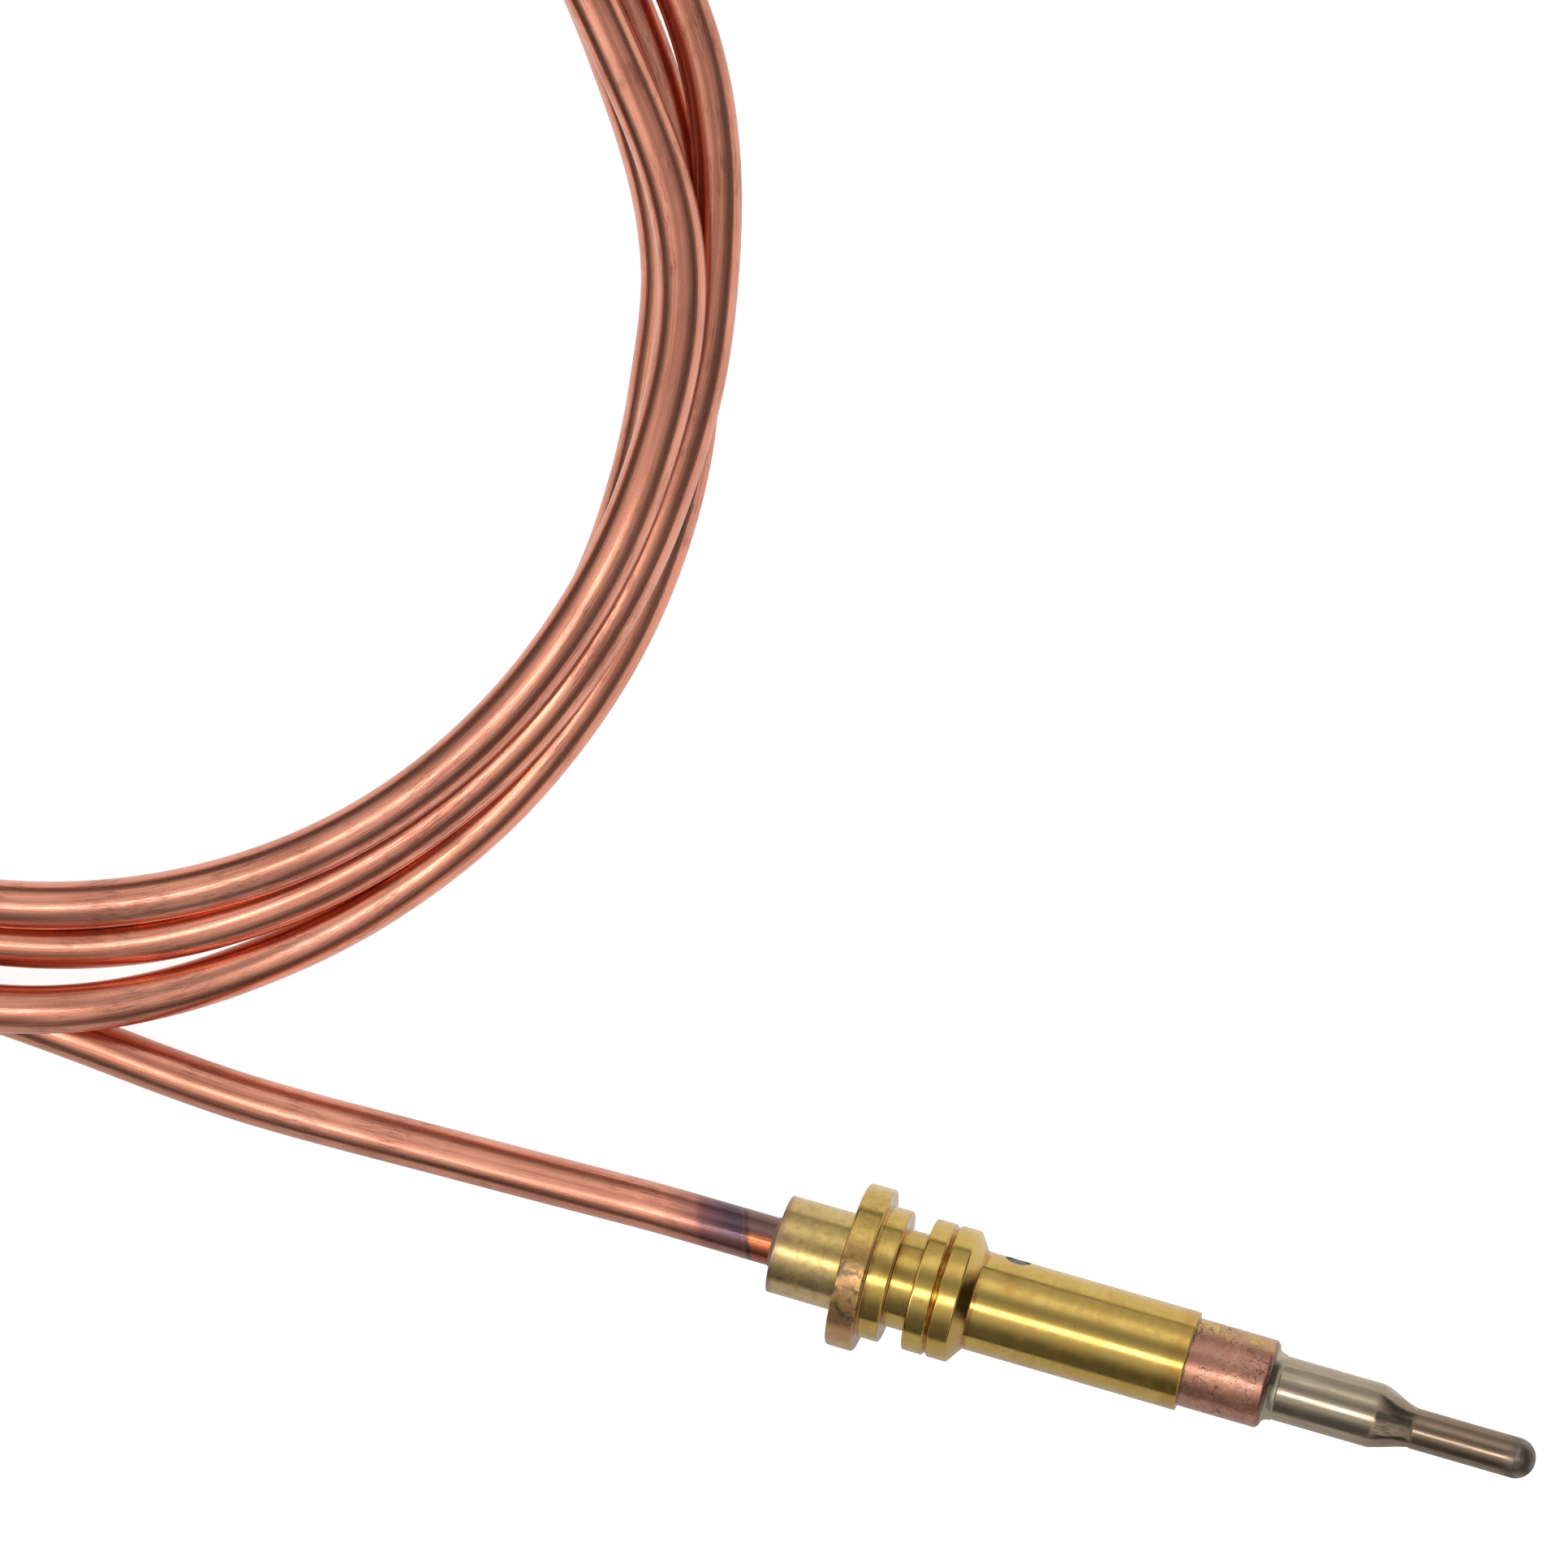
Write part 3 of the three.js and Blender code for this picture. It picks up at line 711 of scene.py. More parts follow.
def make_weld():
    tone = settings().finish
    made, tree, shader = new_material("tip_weld")
    vector = on_axis(tree, "head")
    station = station_and_radius(tree, vector)[0]
    scale = patches(tree, vector, 1500.0, 0.36, 0.64, 7.0)
    base = mix_colour(tree, scale, tone.weld, (0.15, 0.115, 0.09))
    tip = ramp_mm(tree, station, 46.5, 47.2)
    base = tint(tree, tip, 0.55, base, (0.10, 0.085, 0.07))
    line = band_mm(tree, station, 46.05, 46.18, 0.05)
    base = tint(tree, line, 0.20, base, (0.10, 0.08, 0.06))
    rough = add_share(tree, scale, 0.10, 0.38)
    finish_shader(tree, shader, base, rough, 0.9, scale, 5e-6)
    return made


def make_solder(name, base, dark):
    """Solder: soft patches, fine pits and a slightly uneven skin."""
    made, tree, shader = new_material(name)
    place = object_place(tree)
    cloudy = patches(tree, place, 1100.0, 0.36, 0.64, 5.0)
    colour_mix = tint(tree, cloudy, 0.55, base, dark)
    pits = specks(tree, place, 3850.0, 0.28, 0.22)
    colour_mix = tint(tree, pits, 0.5, colour_mix, dark)
    rough = add_share(tree, cloudy, 0.14, 0.42)
    height = add_share(tree, pits, -0.6, cloudy)
    finish_shader(tree, shader, colour_mix, rough, 0.5, height, 4e-6, gloss=0.3)
    return made


def make_braze():
    """Flowed silver braze: pale, with a painted dark reflection on the front ring, and copper pink behind the
    boss.
    """
    tone = settings().finish
    made, tree, shader = new_material("flowed_braze")
    vector = on_axis(tree, "head")
    station, _, side, up = station_and_radius(tree, vector)
    cloudy = patches(tree, vector, 1300.0, 0.36, 0.64, 6.0)
    base = tint(tree, cloudy, 0.50, tone.braze, (0.40, 0.32, 0.20))
    # Painted dark reflection on the upper side of the front ring, where the braze is also made less metallic
    # and rougher.
    painted_dark_reflection = both(tree, band_mm(tree, station, 30.7, 31.22, 0.10),
                    band_mm(tree, side, 0.0, 1.5, 0.3), ramp_mm(tree, up, 0.0, 0.5))
    base = tint(tree, painted_dark_reflection, 0.92, base, (0.06, 0.05, 0.035))
    flushed = ramp_mm(tree, station, 0.5, 1.0, 1.0, 0.0)
    base = tint(tree, flushed, 0.80, base, (0.40, 0.19, 0.14))
    pits = specks(tree, vector, 3800.0, 0.28, 0.22)
    base = tint(tree, pits, 0.5, base, (0.20, 0.15, 0.10))
    rough = add_share(tree, cloudy, 0.10, 0.30)
    rough = add_share(tree, maths(tree, "MAXIMUM", flushed, painted_dark_reflection), 0.25, rough)
    metal = ramp_value(tree, maths(tree, "MAXIMUM", flushed, painted_dark_reflection), 0.0, 1.0, 0.85, 0.25)
    height = add_share(tree, pits, -0.6, cloudy)
    finish_shader(tree, shader, base, rough, metal, height, 4e-6, gloss=0.3)
    return made


def heat_tint(tree, place, dashes, base):
    """Heat tint on the copper: orange and grey beside the boss, a dark line, then purple that fades away."""
    tone = settings().finish
    from_boss = vector_maths(tree, "SUBTRACT", place, (BOSS_X, 0, AXIS_Z))
    parts = add_node(tree, "ShaderNodeSeparateXYZ", {0: from_boss})
    side = parts.outputs[1]
    reach = add_node(tree, "ShaderNodeVectorMath", {0: from_boss}, operation="LENGTH").outputs["Value"]
    tail = ramp_mm(tree, reach, 7.5, 9.5, 1.0, 0.0)
    away = maths(tree, "MULTIPLY", parts.outputs[0], -1.0)
    wobble = add_node(tree, "ShaderNodeTexNoise", {"Vector": place, "Scale": 800.0, "Detail": 6.0})
    away = add_share(tree, side, -0.35, away)
    away = add_share(tree, wobble.outputs["Fac"], 0.9 * MM, away)
    purple = both(tree, band_mm(tree, away, 2.3, 5.5, 0.45), tail,
                  ramp_mm(tree, side, -1.35, 0.1, 0.55, 1.0))
    base = tint(tree, purple, 0.93, base, tone.temper_blue)
    fade = both(tree, band_mm(tree, away, 4.2, 6.9, 1.0), tail)
    base = tint(tree, fade, 0.55, base, (0.33, 0.12, 0.11))
    hot = both(tree, ramp_mm(tree, away, 2.2, 2.7, 1.0, 0.0), tail)
    base = mix_colour(tree, hot, base, tone.temper_orange)
    base = tint(tree, both(tree, hot, dashes), 0.55, base, (0.25, 0.05, 0.03))
    under = both(tree, hot, ramp_mm(tree, side, -0.9, -0.4, 1.0, 0.0))
    base = tint(tree, under, 0.65, base, (0.30, 0.07, 0.045))
    grey = both(tree, hot, ramp_mm(tree, side, -0.1, 0.5))
    base = tint(tree, grey, 0.85, base, (0.135, 0.105, 0.10))
    line = both(tree, band_mm(tree, away, 2.2, 2.55, 0.12), tail)
    base = tint(tree, line, 0.75, base, (0.05, 0.04, 0.045))
    return base


def make_copper():
    """Drawn copper on the lead's own UV map, with the heat tint beside the boss."""
    tone = settings().finish
    made, tree, shader = new_material("lead_copper")
    chart = add_node(tree, "ShaderNodeUVMap", uv_map="Tube").outputs["UV"]
    place = object_place(tree)
    fine = place_group(tree, "Draw lines", {"Vector": chart, "Round": 9.0, "Along": 1.1})
    broad = place_group(tree, "Draw lines", {"Vector": chart, "Round": 2.6, "Along": 0.30})
    cloudy = patches(tree, place, 150.0, 0.36, 0.64, 6.0)
    base = tint(tree, broad.outputs["Mask"], 0.50, tone.copper, tone.copper_light)
    base = tint(tree, both(tree, cloudy, fine.outputs["Mask"]), 0.55, base, tone.copper_dark)
    base = tint(tree, cloudy, 0.12, base, tone.copper_dark)
    base = tint(tree, fine.outputs["Mask"], 0.18, base, tone.copper_dark)
    # Short dark dashes of tarnish along the draw lines, in some places only.
    dashes = place_group(tree, "Draw lines", {"Vector": chart, "Round": 13.0, "Along": 9.0})
    worn = both(tree, dashes.outputs["Mask"], patches(tree, place, 240.0, 0.46, 0.62, 5.0))
    base = tint(tree, worn, 0.55, base, (0.20, 0.065, 0.04))
    stretched = place_group(tree, "Draw lines", {"Vector": chart, "Round": 9.0, "Along": 22.0})
    grain = both(tree, specks(tree, stretched.outputs["Vector"], 1.6, 0.36, 0.20),
                 patches(tree, place, 210.0, 0.42, 0.60))
    base = tint(tree, grain, 0.6, base, (0.14, 0.045, 0.03))
    base = heat_tint(tree, place, dashes.outputs["Mask"], base)

    rough = add_share(tree, fine.outputs["Mask"], 0.07, 0.21)
    rough = add_share(tree, cloudy, 0.05, rough)
    rough = add_share(tree, worn, 0.10, rough)
    height = add_share(tree, grain, -0.4, fine.outputs["Height"])
    height = add_share(tree, broad.outputs["Height"], 3.0, height)
    height = add_share(tree, dashes.outputs["Height"], 0.5, height)
    finish_shader(tree, shader, base, rough, 1.0, height, 7e-6, coat=0.4)
    return made


def make_wire_metal(name, base, dark):
    """Drawn wire for the hidden conductors."""
    made, tree, shader = new_material(name)
    place = object_place(tree)
    stretched = vector_maths(tree, "MULTIPLY", place, (0.05, 1.0, 1.0))
    lines = patches(tree, stretched, 6000.0, 0.36, 0.64)
    colour_mix = tint(tree, lines, 0.5, base, dark)
    rough = add_share(tree, lines, 0.12, 0.28)
    finish_shader(tree, shader, colour_mix, rough, 1.0, lines, 1.5e-6)
    return made


def make_fired(name, base, dark, scale, depth):
    """Ceramic and fibre: matt, mottled and slightly rough."""
    made, tree, shader = new_material(name)
    place = object_place(tree)
    cloudy = patches(tree, place, scale, 0.35, 0.65, 6.0)
    pits = specks(tree, place, scale * 3.0, 0.3, 0.3)
    colour_mix = tint(tree, cloudy, 0.5, base, dark)
    colour_mix = tint(tree, pits, 0.35, colour_mix, dark)
    rough = add_share(tree, cloudy, 0.15, 0.62)
    height = add_share(tree, pits, -1.0, cloudy)
    finish_shader(tree, shader, colour_mix, rough, 0.0, height, depth)
    return made


def make_glass_braid(name, end):
    """Braided glass sleeving: two crossed sets of strands round the axis."""
    tone = settings().finish
    made, tree, shader = new_material(name)
    vector = on_axis(tree, end)
    station, _, side, up = station_and_radius(tree, vector)
    round_angle = maths(tree, "ARCTAN2", side, up)
    strands = None
    for way in (1.0, -1.0):
        twist = add_share(tree, station, 9000.0 * way, maths(tree, "MULTIPLY", round_angle, 8.0))
        wave = add_share(tree, maths(tree, "SINE", twist), 0.5, 0.5)
        strands = wave if strands is None else maths(tree, "MAXIMUM", strands, wave)
    base = mix_colour(tree, strands, (0.42, 0.38, 0.29), tone.glass)
    rough = add_share(tree, strands, -0.12, 0.85)
    finish_shader(tree, shader, base, rough, 0.0, strands, 3e-5)
    return made


def tone_of(name):
    """One colour of the panel, as plain numbers."""
    return tuple(getattr(settings().finish, name))


FINISH_MAKERS = {
    "head_brass": make_head_brass,
    "nut_brass": make_cold_brass,
    "sheath_nickel": make_nickel,
    "tip_weld": make_weld,
    "lead_copper": make_copper,
    "flowed_braze": make_braze,
    "dull_solder": lambda: make_solder("dull_solder", tone_of("solder"), (0.11, 0.11, 0.11)),
    "constantan_wire": lambda: make_wire_metal("constantan_wire", tone_of("constantan"), (0.36, 0.31, 0.26)),
    "inner_copper": lambda: make_wire_metal("inner_copper", tone_of("copper"), tone_of("copper_dark")),
    "ceramic": lambda: make_fired("ceramic", tone_of("ceramic"), (0.52, 0.47, 0.39), 900.0, 8e-6),
    "pressed_fibre": lambda: make_fired("pressed_fibre", tone_of("fibre"), (0.07, 0.02, 0.015), 1600.0, 1e-5),
    "glass_braid_head": lambda: make_glass_braid("glass_braid_head", "head"),
    "glass_braid_cold": lambda: make_glass_braid("glass_braid_cold", "cold"),
}


def finish(name):
    """The material of that name, made the first time it is wanted."""
    found = bpy.data.materials.get(name)
    if found:
        return found
    if "Patches" not in bpy.data.node_groups:
        grain_group()
        turned_group()
        draw_line_group()
        speck_group()
    return FINISH_MAKERS[name]()


# ---------------------------------------------------------------------------------------------
# Modelling helpers
# ---------------------------------------------------------------------------------------------


def on_the_axis(end, station, radius):
    """A point above the axis of the head or of the cold end, from its station and radius in metres."""
    if end == "head":
        return Vector((BOSS_X + station, 0, AXIS_Z + radius))
    return Vector((COLD_X, COLD_Y + station, COLD_Z + radius))


def axis_of(end):
    return Vector((1, 0, 0)) if end == "head" else Vector((0, 1, 0))


def object_mode():
    if bpy.context.mode != "OBJECT":
        bpy.ops.object.mode_set(mode="OBJECT")


def start_piece(name):
    """Names the new primitive, which is the active object, and opens it for editing."""
    piece = bpy.context.active_object
    piece.name = name
    piece.data.name = name
    bpy.ops.object.mode_set(mode="EDIT")
    bpy.ops.mesh.select_mode(type="VERT")
    return piece


def pick(piece, wanted):
    """Selects the vertices whose place passes a test."""
    bpy.ops.mesh.select_all(action="DESELECT")
    shape = bmesh.from_edit_mesh(piece.data)
    for vertex in shape.verts:
        vertex.select = bool(wanted(vertex.co))
    shape.select_flush_mode()
    bmesh.update_edit_mesh(piece.data)


def pick_out(piece):
    """Leaves the piece as the only one that is selected, and active."""
    object_mode()
    bpy.ops.object.select_all(action="DESELECT")
    piece.select_set(True)
    bpy.context.view_layer.objects.active = piece


def smooth_by_angle(piece, degrees):
    pick_out(piece)
    bpy.ops.object.shade_smooth_by_angle(angle=math.radians(degrees))


def apply_modifier(piece, kind, **values):
    pick_out(piece)
    made = piece.modifiers.new(kind.title(), kind)
    for key, value in values.items():
        setattr(made, key, value)
    bpy.ops.object.modifier_apply(modifier=made.name)


def cut(piece, cutter, operation="DIFFERENCE"):
    """Cuts a piece with another shape, which is then removed."""
    apply_modifier(piece, "BOOLEAN", operation=operation, solver="EXACT", object=cutter)
    bpy.data.objects.remove(cutter, do_unlink=True)


def with_support(corners):
    """Adds a point just inside each end of the long straight runs, which keeps their shading straight."""
    inside, shortest = 0.04 * MM, 0.45 * MM
    supported = [corners[0]]
    for before, after in zip(corners, corners[1:]):
        start, finish_at = Vector(before[:2]), Vector(after[:2])
        run = (finish_at - start).length
        if run > before[2] + after[2] + shortest:
            for share in ((before[2] + inside) / run, 1 - (after[2] + inside) / run):
                supported.append((*start.lerp(finish_at, share), 0))
        supported.append(after)
    return supported


def turn(name, end, corners, steps=160):
    """A closed turned piece. Each corner is a station and a radius in metres, and its rounding in mm."""
    corners = with_support([(station, radius, rounding * MM) for station, radius, rounding in corners])
    bpy.ops.object.select_all(action="DESELECT")
    bpy.ops.mesh.primitive_plane_add(size=MM, location=(0, 0, 0))
    piece = start_piece(name)
    bpy.ops.mesh.select_all(action="SELECT")
    bpy.ops.mesh.merge(type="CENTER")
    places = [on_the_axis(end, station, radius) for station, radius, _ in corners]
    bpy.ops.transform.translate(value=places[0])
    for before, after in zip(places, places[1:]):
        bpy.ops.mesh.extrude_vertices_move(TRANSFORM_OT_translate={"value": after - before})
    ends = (places[0], places[-1])
    pick(piece, lambda co: min((co - end_place).length for end_place in ends) < SAME_PLACE)
    bpy.ops.mesh.edge_face_add()
    for rounding in sorted({corner[2] for corner in corners if corner[2] > 0}):
        here = [place for place, corner in zip(places, corners) if corner[2] == rounding]
        pick(piece, lambda co: min((co - place).length for place in here) < SAME_PLACE)
        bpy.ops.mesh.bevel(offset=rounding, segments=3, affect="VERTICES")
    bpy.ops.mesh.select_all(action="SELECT")
    bpy.ops.mesh.spin(steps=steps, angle=2 * math.pi, center=on_the_axis(end, 0, 0), axis=axis_of(end))
    bpy.ops.mesh.select_all(action="SELECT")
    bpy.ops.mesh.remove_doubles(threshold=2e-6)
    bpy.ops.mesh.dissolve_degenerate(threshold=1e-7)
    bpy.ops.mesh.select_all(action="SELECT")
    bpy.ops.mesh.normals_make_consistent(inside=False)
    object_mode()
    return piece


def uneven(piece, strength, size):
    """Gives a flowed surface its slow lumps, with a cloud texture of that size."""
    clouds = bpy.data.textures.new(f"{piece.name}_lumps", "CLOUDS")
    clouds.noise_scale = size
    clouds.noise_depth = 1
    apply_modifier(piece, "DISPLACE", texture=clouds, strength=strength, mid_level=0.5,
                   texture_coords="LOCAL")


def complete(piece, finish_name, replaced, body=BODY, degrees=30):
    """Shades a finished piece, gives it its finish, and ties it to the frame."""
    smooth_by_angle(piece, degrees)
    piece.data.materials.clear()
    piece.data.materials.append(finish(finish_name))
    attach(piece, body)
    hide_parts(*replaced)


# ---------------------------------------------------------------------------------------------
# The lead
# ---------------------------------------------------------------------------------------------


def ease(knots, values, place):
    """Smooth interpolation between uneven knots, with central slopes."""
    last = len(knots) - 2
    here = min(max(bisect.bisect_right(knots, place) - 1, 0), last)

    def slope(index):
        low, high = max(index - 1, 0), min(index + 1, last + 1)
        return (values[high] - values[low]) / (knots[high] - knots[low])

    span = knots[here + 1] - knots[here]
    t = (place - knots[here]) / span
    return (
        (2 * t**3 - 3 * t**2 + 1) * values[here]
        + (t**3 - 2 * t**2 + t) * span * slope(here)
        + (3 * t**2 - 2 * t**3) * values[here + 1]
        + (t**3 - t**2) * span * slope(here + 1)
    )


def lead_knots():
    """The points that the lead's centreline passes, from inside the boss to inside the ferrule."""
    boss = Vector((BOSS_X, 0, 0))
    points = [boss + Vector((station * MM, 0, AXIS_Z)) for station in (8.7, 5.0, 1.5)]
    points += [boss + Vector(point) * MM for point in HOT_ROUTE + HOT_LEAD_IN]
    knots, radii, heights = [], [], []
    for turn_index, lay in enumerate(TURN_LAY):
        for angle, radius, height in lay:
            knots.append(angle + 360.0 * turn_index)
            radii.append(radius)
            heights.append(height)
    step = 3.0
    for index in range(int(knots[-1] / step) + 1):
        angle = index * step
        radius, height = ease(knots, radii, angle), ease(knots, heights, angle)
        screen = math.radians(-90 - angle)
        points.append(Vector((COIL_X + radius * MM * math.cos(screen),
                              COIL_Y + radius * MM * math.sin(screen), height * MM)))
    for along, height in COLD_LEAD_OUT + COLD_ROUTE:
        points.append(Vector((COLD_X, COLD_Y + along * MM, height * MM)))
    points += [Vector((COLD_X, COLD_Y + along * MM, COLD_Z)) for along in (3.0, 8.0, 12.0)]
    return points


def lead_path():
    """The centreline at even steps. Small slow deviations give the look of a hand-wound tube."""
    points = lead_knots()
    travelled = [0.0]
    for before, after in zip(points, points[1:]):
        travelled.append(travelled[-1] + (after - before).length)
    count = round(travelled[-1] / settings().lead.step)
    path = []
    for index in range(count + 1):
        place = travelled[-1] * index / count
        point = Vector([ease(travelled, [item[axis] for item in points], place) for axis in range(3)])
        from_hot = max(0.0, (place - HELD_HOT) / HELD_FADE)
        from_cold = max(0.0, (travelled[-1] - HELD_COLD - place) / HELD_FADE)
        at = place * WANDER_SCALE
        wander = Vector((noise.noise(Vector((at, 3.1, 0))), noise.noise(Vector((at, 0, 7.7))), 0))
        path.append(point + wander * (WANDER * min(1.0, from_hot, from_cold)))
    return path


def tube_mesh(name, path, radius, sides):
    """A closed tube round a path, with a UV map that runs round it and along it in tube girths."""
    girth = 2 * math.pi * radius
    vertices, faces, chart = [], [], []
    travelled = 0.0
    for index, point in enumerate(path):
        ahead = path[min(index + 1, len(path) - 1)] - path[max(index - 1, 0)]
        ahead.normalize()
        across = ahead.cross(Vector((0, 0, 1))).normalized()
        above = across.cross(ahead)
        if index:
            travelled += (point - path[index - 1]).length
        for side in range(sides):
            turned_by = 2 * math.pi * side / sides - math.pi / 2
            vertices.append(point + (across * math.cos(turned_by) + above * math.sin(turned_by)) * radius)
        if index:
            low, high = (index - 1) * sides, index * sides
            before = travelled - (point - path[index - 1]).length
            for side in range(sides):
                following = (side + 1) % sides
                faces.append((low + side, low + following, high + following, high + side))
                u0, u1 = side / sides, (side + 1) / sides
                chart.append([(u0, before / girth), (u1, before / girth), (u1, travelled / girth),
                              (u0, travelled / girth)])
    count = len(path) * sides
    faces.append(tuple(reversed(range(sides))))
    chart.append([(side / sides, 0.0) for side in reversed(range(sides))])
    faces.append(tuple(range(count - sides, count)))
    chart.append([(side / sides, travelled / girth) for side in range(sides)])
    mesh = bpy.data.meshes.new(name)
    mesh.from_pydata(vertices, [], faces)
    layer = mesh.uv_layers.new(name="Tube")
    for face, corners in zip(mesh.polygons, chart):
        for loop, corner in zip(face.loop_indices, corners):
            layer.data[loop].uv = corner
    mesh.update()
    piece = bpy.data.objects.new(name, mesh)
    bpy.context.scene.collection.objects.link(piece)
    return piece


# ---------------------------------------------------------------------------------------------
# Operators
# ---------------------------------------------------------------------------------------------

CAMERA_LENS = 160.0
CAMERA_DISTANCE = 0.4240
VIEW_CENTRE = Vector((-0.03078, 0.02692, AXIS_Z))
VIEW_LEAN = math.radians(7.7)
VIEW_ROLL = math.radians(15.63)


class MakeCamera(bpy.types.Operator):
    """Adds the camera that looks down on the head, with the coil at its upper left"""
    bl_idname = "thermocouple.make_camera"
    bl_label = "Camera"

    def execute(self, context):
        data = bpy.data.cameras.new("view_camera")
        data.lens = CAMERA_LENS
        data.sensor_width = 36.0
        data.clip_start = 0.01
        data.clip_end = 20.0
        camera = bpy.data.objects.new("view_camera", data)
        context.scene.collection.objects.link(camera)
        back = Vector((math.sin(VIEW_LEAN), 0, math.cos(VIEW_LEAN)))
        along_head = (Vector((1, 0, 0)) - back * back.x).normalized()
        right = along_head * math.cos(VIEW_ROLL) + back.cross(along_head) * math.sin(VIEW_ROLL)
        turned_to = Matrix((right, back.cross(right), back)).transposed()
        camera.matrix_world = Matrix.Translation(VIEW_CENTRE + back * CAMERA_DISTANCE) @ turned_to.to_4x4()
        context.scene.camera = camera
        return {"FINISHED"}


class MakeLead(bpy.types.Operator):
    """Winds the copper lead from inside the boss to inside the end ferrule"""
    bl_idname = "thermocouple.make_lead"
    bl_label = "Copper lead"

    def execute(self, context):
        sizes = settings().lead
        piece = tube_mesh("copper_lead", lead_path(), sizes.radius, sizes.sides)
        replaced = ["capillary_end_hot", "lead_run_hot", "lead_coil", "lead_run_cold", "capillary_end_cold"]
        complete(piece, "lead_copper", replaced, degrees=40)
        return {"FINISHED"}


class MakeHead(bpy.types.Operator):
    """Turns the brass head and drills its solder port"""
    bl_idname = "thermocouple.make_head"
    bl_label = "Brass head"

    def execute(self, context):
        size = settings().head
        step = 0.18 * MM
        depth = 0.22 * MM
        corners = [
            (0, size.rear_bore_radius, 0.04),
            (0, size.boss_radius, 0.11),
            (size.boss_end, size.boss_radius, 0.06),
            (size.boss_end, size.flange_radius, 0.14),
            (size.flange_end, size.flange_radius, 0.14),
            (size.flange_end, size.collar_radius, 0.06),
            (size.step_end, size.collar_radius, 0.11),
            (size.step_end, size.groove_radius, 0.06),
            (size.groove_end, size.groove_radius, 0.06),
            (size.groove_end, size.collar_radius, 0.11),
            (size.witness_at - step, size.collar_radius, 0.04),
            (size.witness_at, size.collar_radius - depth, 0.04),
            (size.witness_at + step, size.collar_radius, 0.04),
            (size.front_collar_end, size.collar_radius, 0.08),
            (size.sleeve_start, size.sleeve_radius, 0.06),
            (size.port_at - 1.0 * MM, size.sleeve_radius, 0),
            (size.port_at + 1.0 * MM, size.sleeve_radius, 0),
            (size.sleeve_end - 5 * MM, size.sleeve_radius, 0),
            (size.sleeve_end, size.sleeve_radius, 0.08),
            (size.sleeve_end, size.nose_radius, 0.03),
            (NOSE_END - 0.22 * MM, size.nose_radius, 0.08),
            (NOSE_END, size.nose_radius - 0.22 * MM, 0.06),
            (NOSE_END, size.front_bore_radius, 0.03),
            (size.rear_bore_end, size.front_bore_radius, 0.03),
            (size.rear_bore_end, size.rear_bore_radius, 0.03),
        ]
        piece = turn("brass_head", "head", corners, 192)
        cut(piece, port_rod("port_drill", size.port_radius, size.front_bore_radius - 0.6 * MM,
                            size.sleeve_radius + 1.0 * MM))
        complete(piece, "head_brass", ["head_body"], degrees=24)
        return {"FINISHED"}


def port_direction():
    return Vector((0, math.cos(PORT_TILT), math.sin(PORT_TILT)))


def port_rod(name, radius, inner, outer):
    """A rod along the solder port, which points to the head's +Y side and a little up."""
    size = settings().head
    centre = Vector((BOSS_X + size.port_at, 0, AXIS_Z)) + port_direction() * (inner + outer) / 2
    bpy.ops.object.select_all(action="DESELECT")
    bpy.ops.mesh.primitive_cylinder_add(vertices=48, radius=radius, depth=outer - inner, location=centre,
                                        rotation=(PORT_TILT - math.pi / 2, 0, 0))
    bpy.ops.object.transform_apply(location=True, rotation=True, scale=True)
    piece = bpy.context.active_object
    piece.name = name
    return piece


def braze_corners(face, reach, outer, inner, lip):
    """A ring of braze whose outside falls in a hollow curve from a face down to a shaft."""
    corners = [(face, inner, 0), (face, outer, 0)]
    rings = 12
    for index in range(1, rings + 1):
        t = index / (rings + 1)
        dip = 1 - math.sqrt(1 - (1 - t) ** 2)
        corners.append((face + (reach - face) * t, inner + lip + (outer - inner - lip) * dip, 0))
    corners += [(reach, inner + lip * 0.75, 0), (reach + (reach - face) * 0.06, inner, 0)]
    return corners


class MakeBrazing(bpy.types.Operator):
    """Flows the two braze rings and fills the solder port"""
    bl_idname = "thermocouple.make_brazing"
    bl_label = "Braze rings and solder port"

    def execute(self, context):
        front = braze_corners(NOSE_END, 31.44 * MM, 2.47 * MM, 1.97 * MM, 0.07 * MM)
        rear = braze_corners(0.0, -0.33 * MM, 2.25 * MM, 1.49 * MM, 0.06 * MM)
        for name, node, corners, steps, lumps in (
            ("front_braze_ring", "front_braze", front, 128, 0.9 * MM),
            ("rear_braze_ring", "rear_braze", rear, 96, 0.8 * MM),
        ):
            ring = turn(name, "head", corners, steps)
            uneven(ring, 0.05 * MM, lumps)
            complete(ring, "flowed_braze", [node], degrees=40)

        size = settings().head
        # The plug's dark grey solder is partly painted shade of the port's recess.
        plug = port_rod("solder_port_plug", size.port_radius - 0.02 * MM,
                        size.front_bore_radius + 0.1 * MM, 2.95 * MM)
        bpy.context.view_layer.objects.active = plug
        bpy.ops.object.mode_set(mode="EDIT")
        bpy.ops.mesh.select_mode(type="FACE")
        bpy.ops.mesh.select_all(action="DESELECT")
        shape = bmesh.from_edit_mesh(plug.data)
        for face in shape.faces:
            face.select = face.normal.dot(port_direction()) > 0.99
        bmesh.update_edit_mesh(plug.data)
        # The solder has sunk in the middle, so its top is dished in three steps.
        for inset, sink in ((0.16 * MM, 0.05 * MM), (0.16 * MM, 0.06 * MM), (0.14 * MM, 0.03 * MM)):
            bpy.ops.mesh.inset(thickness=inset, depth=-sink)
        bpy.ops.mesh.poke()
        object_mode()
        complete(plug, "dull_solder", ["port_plug"], degrees=50)
        return {"FINISHED"}


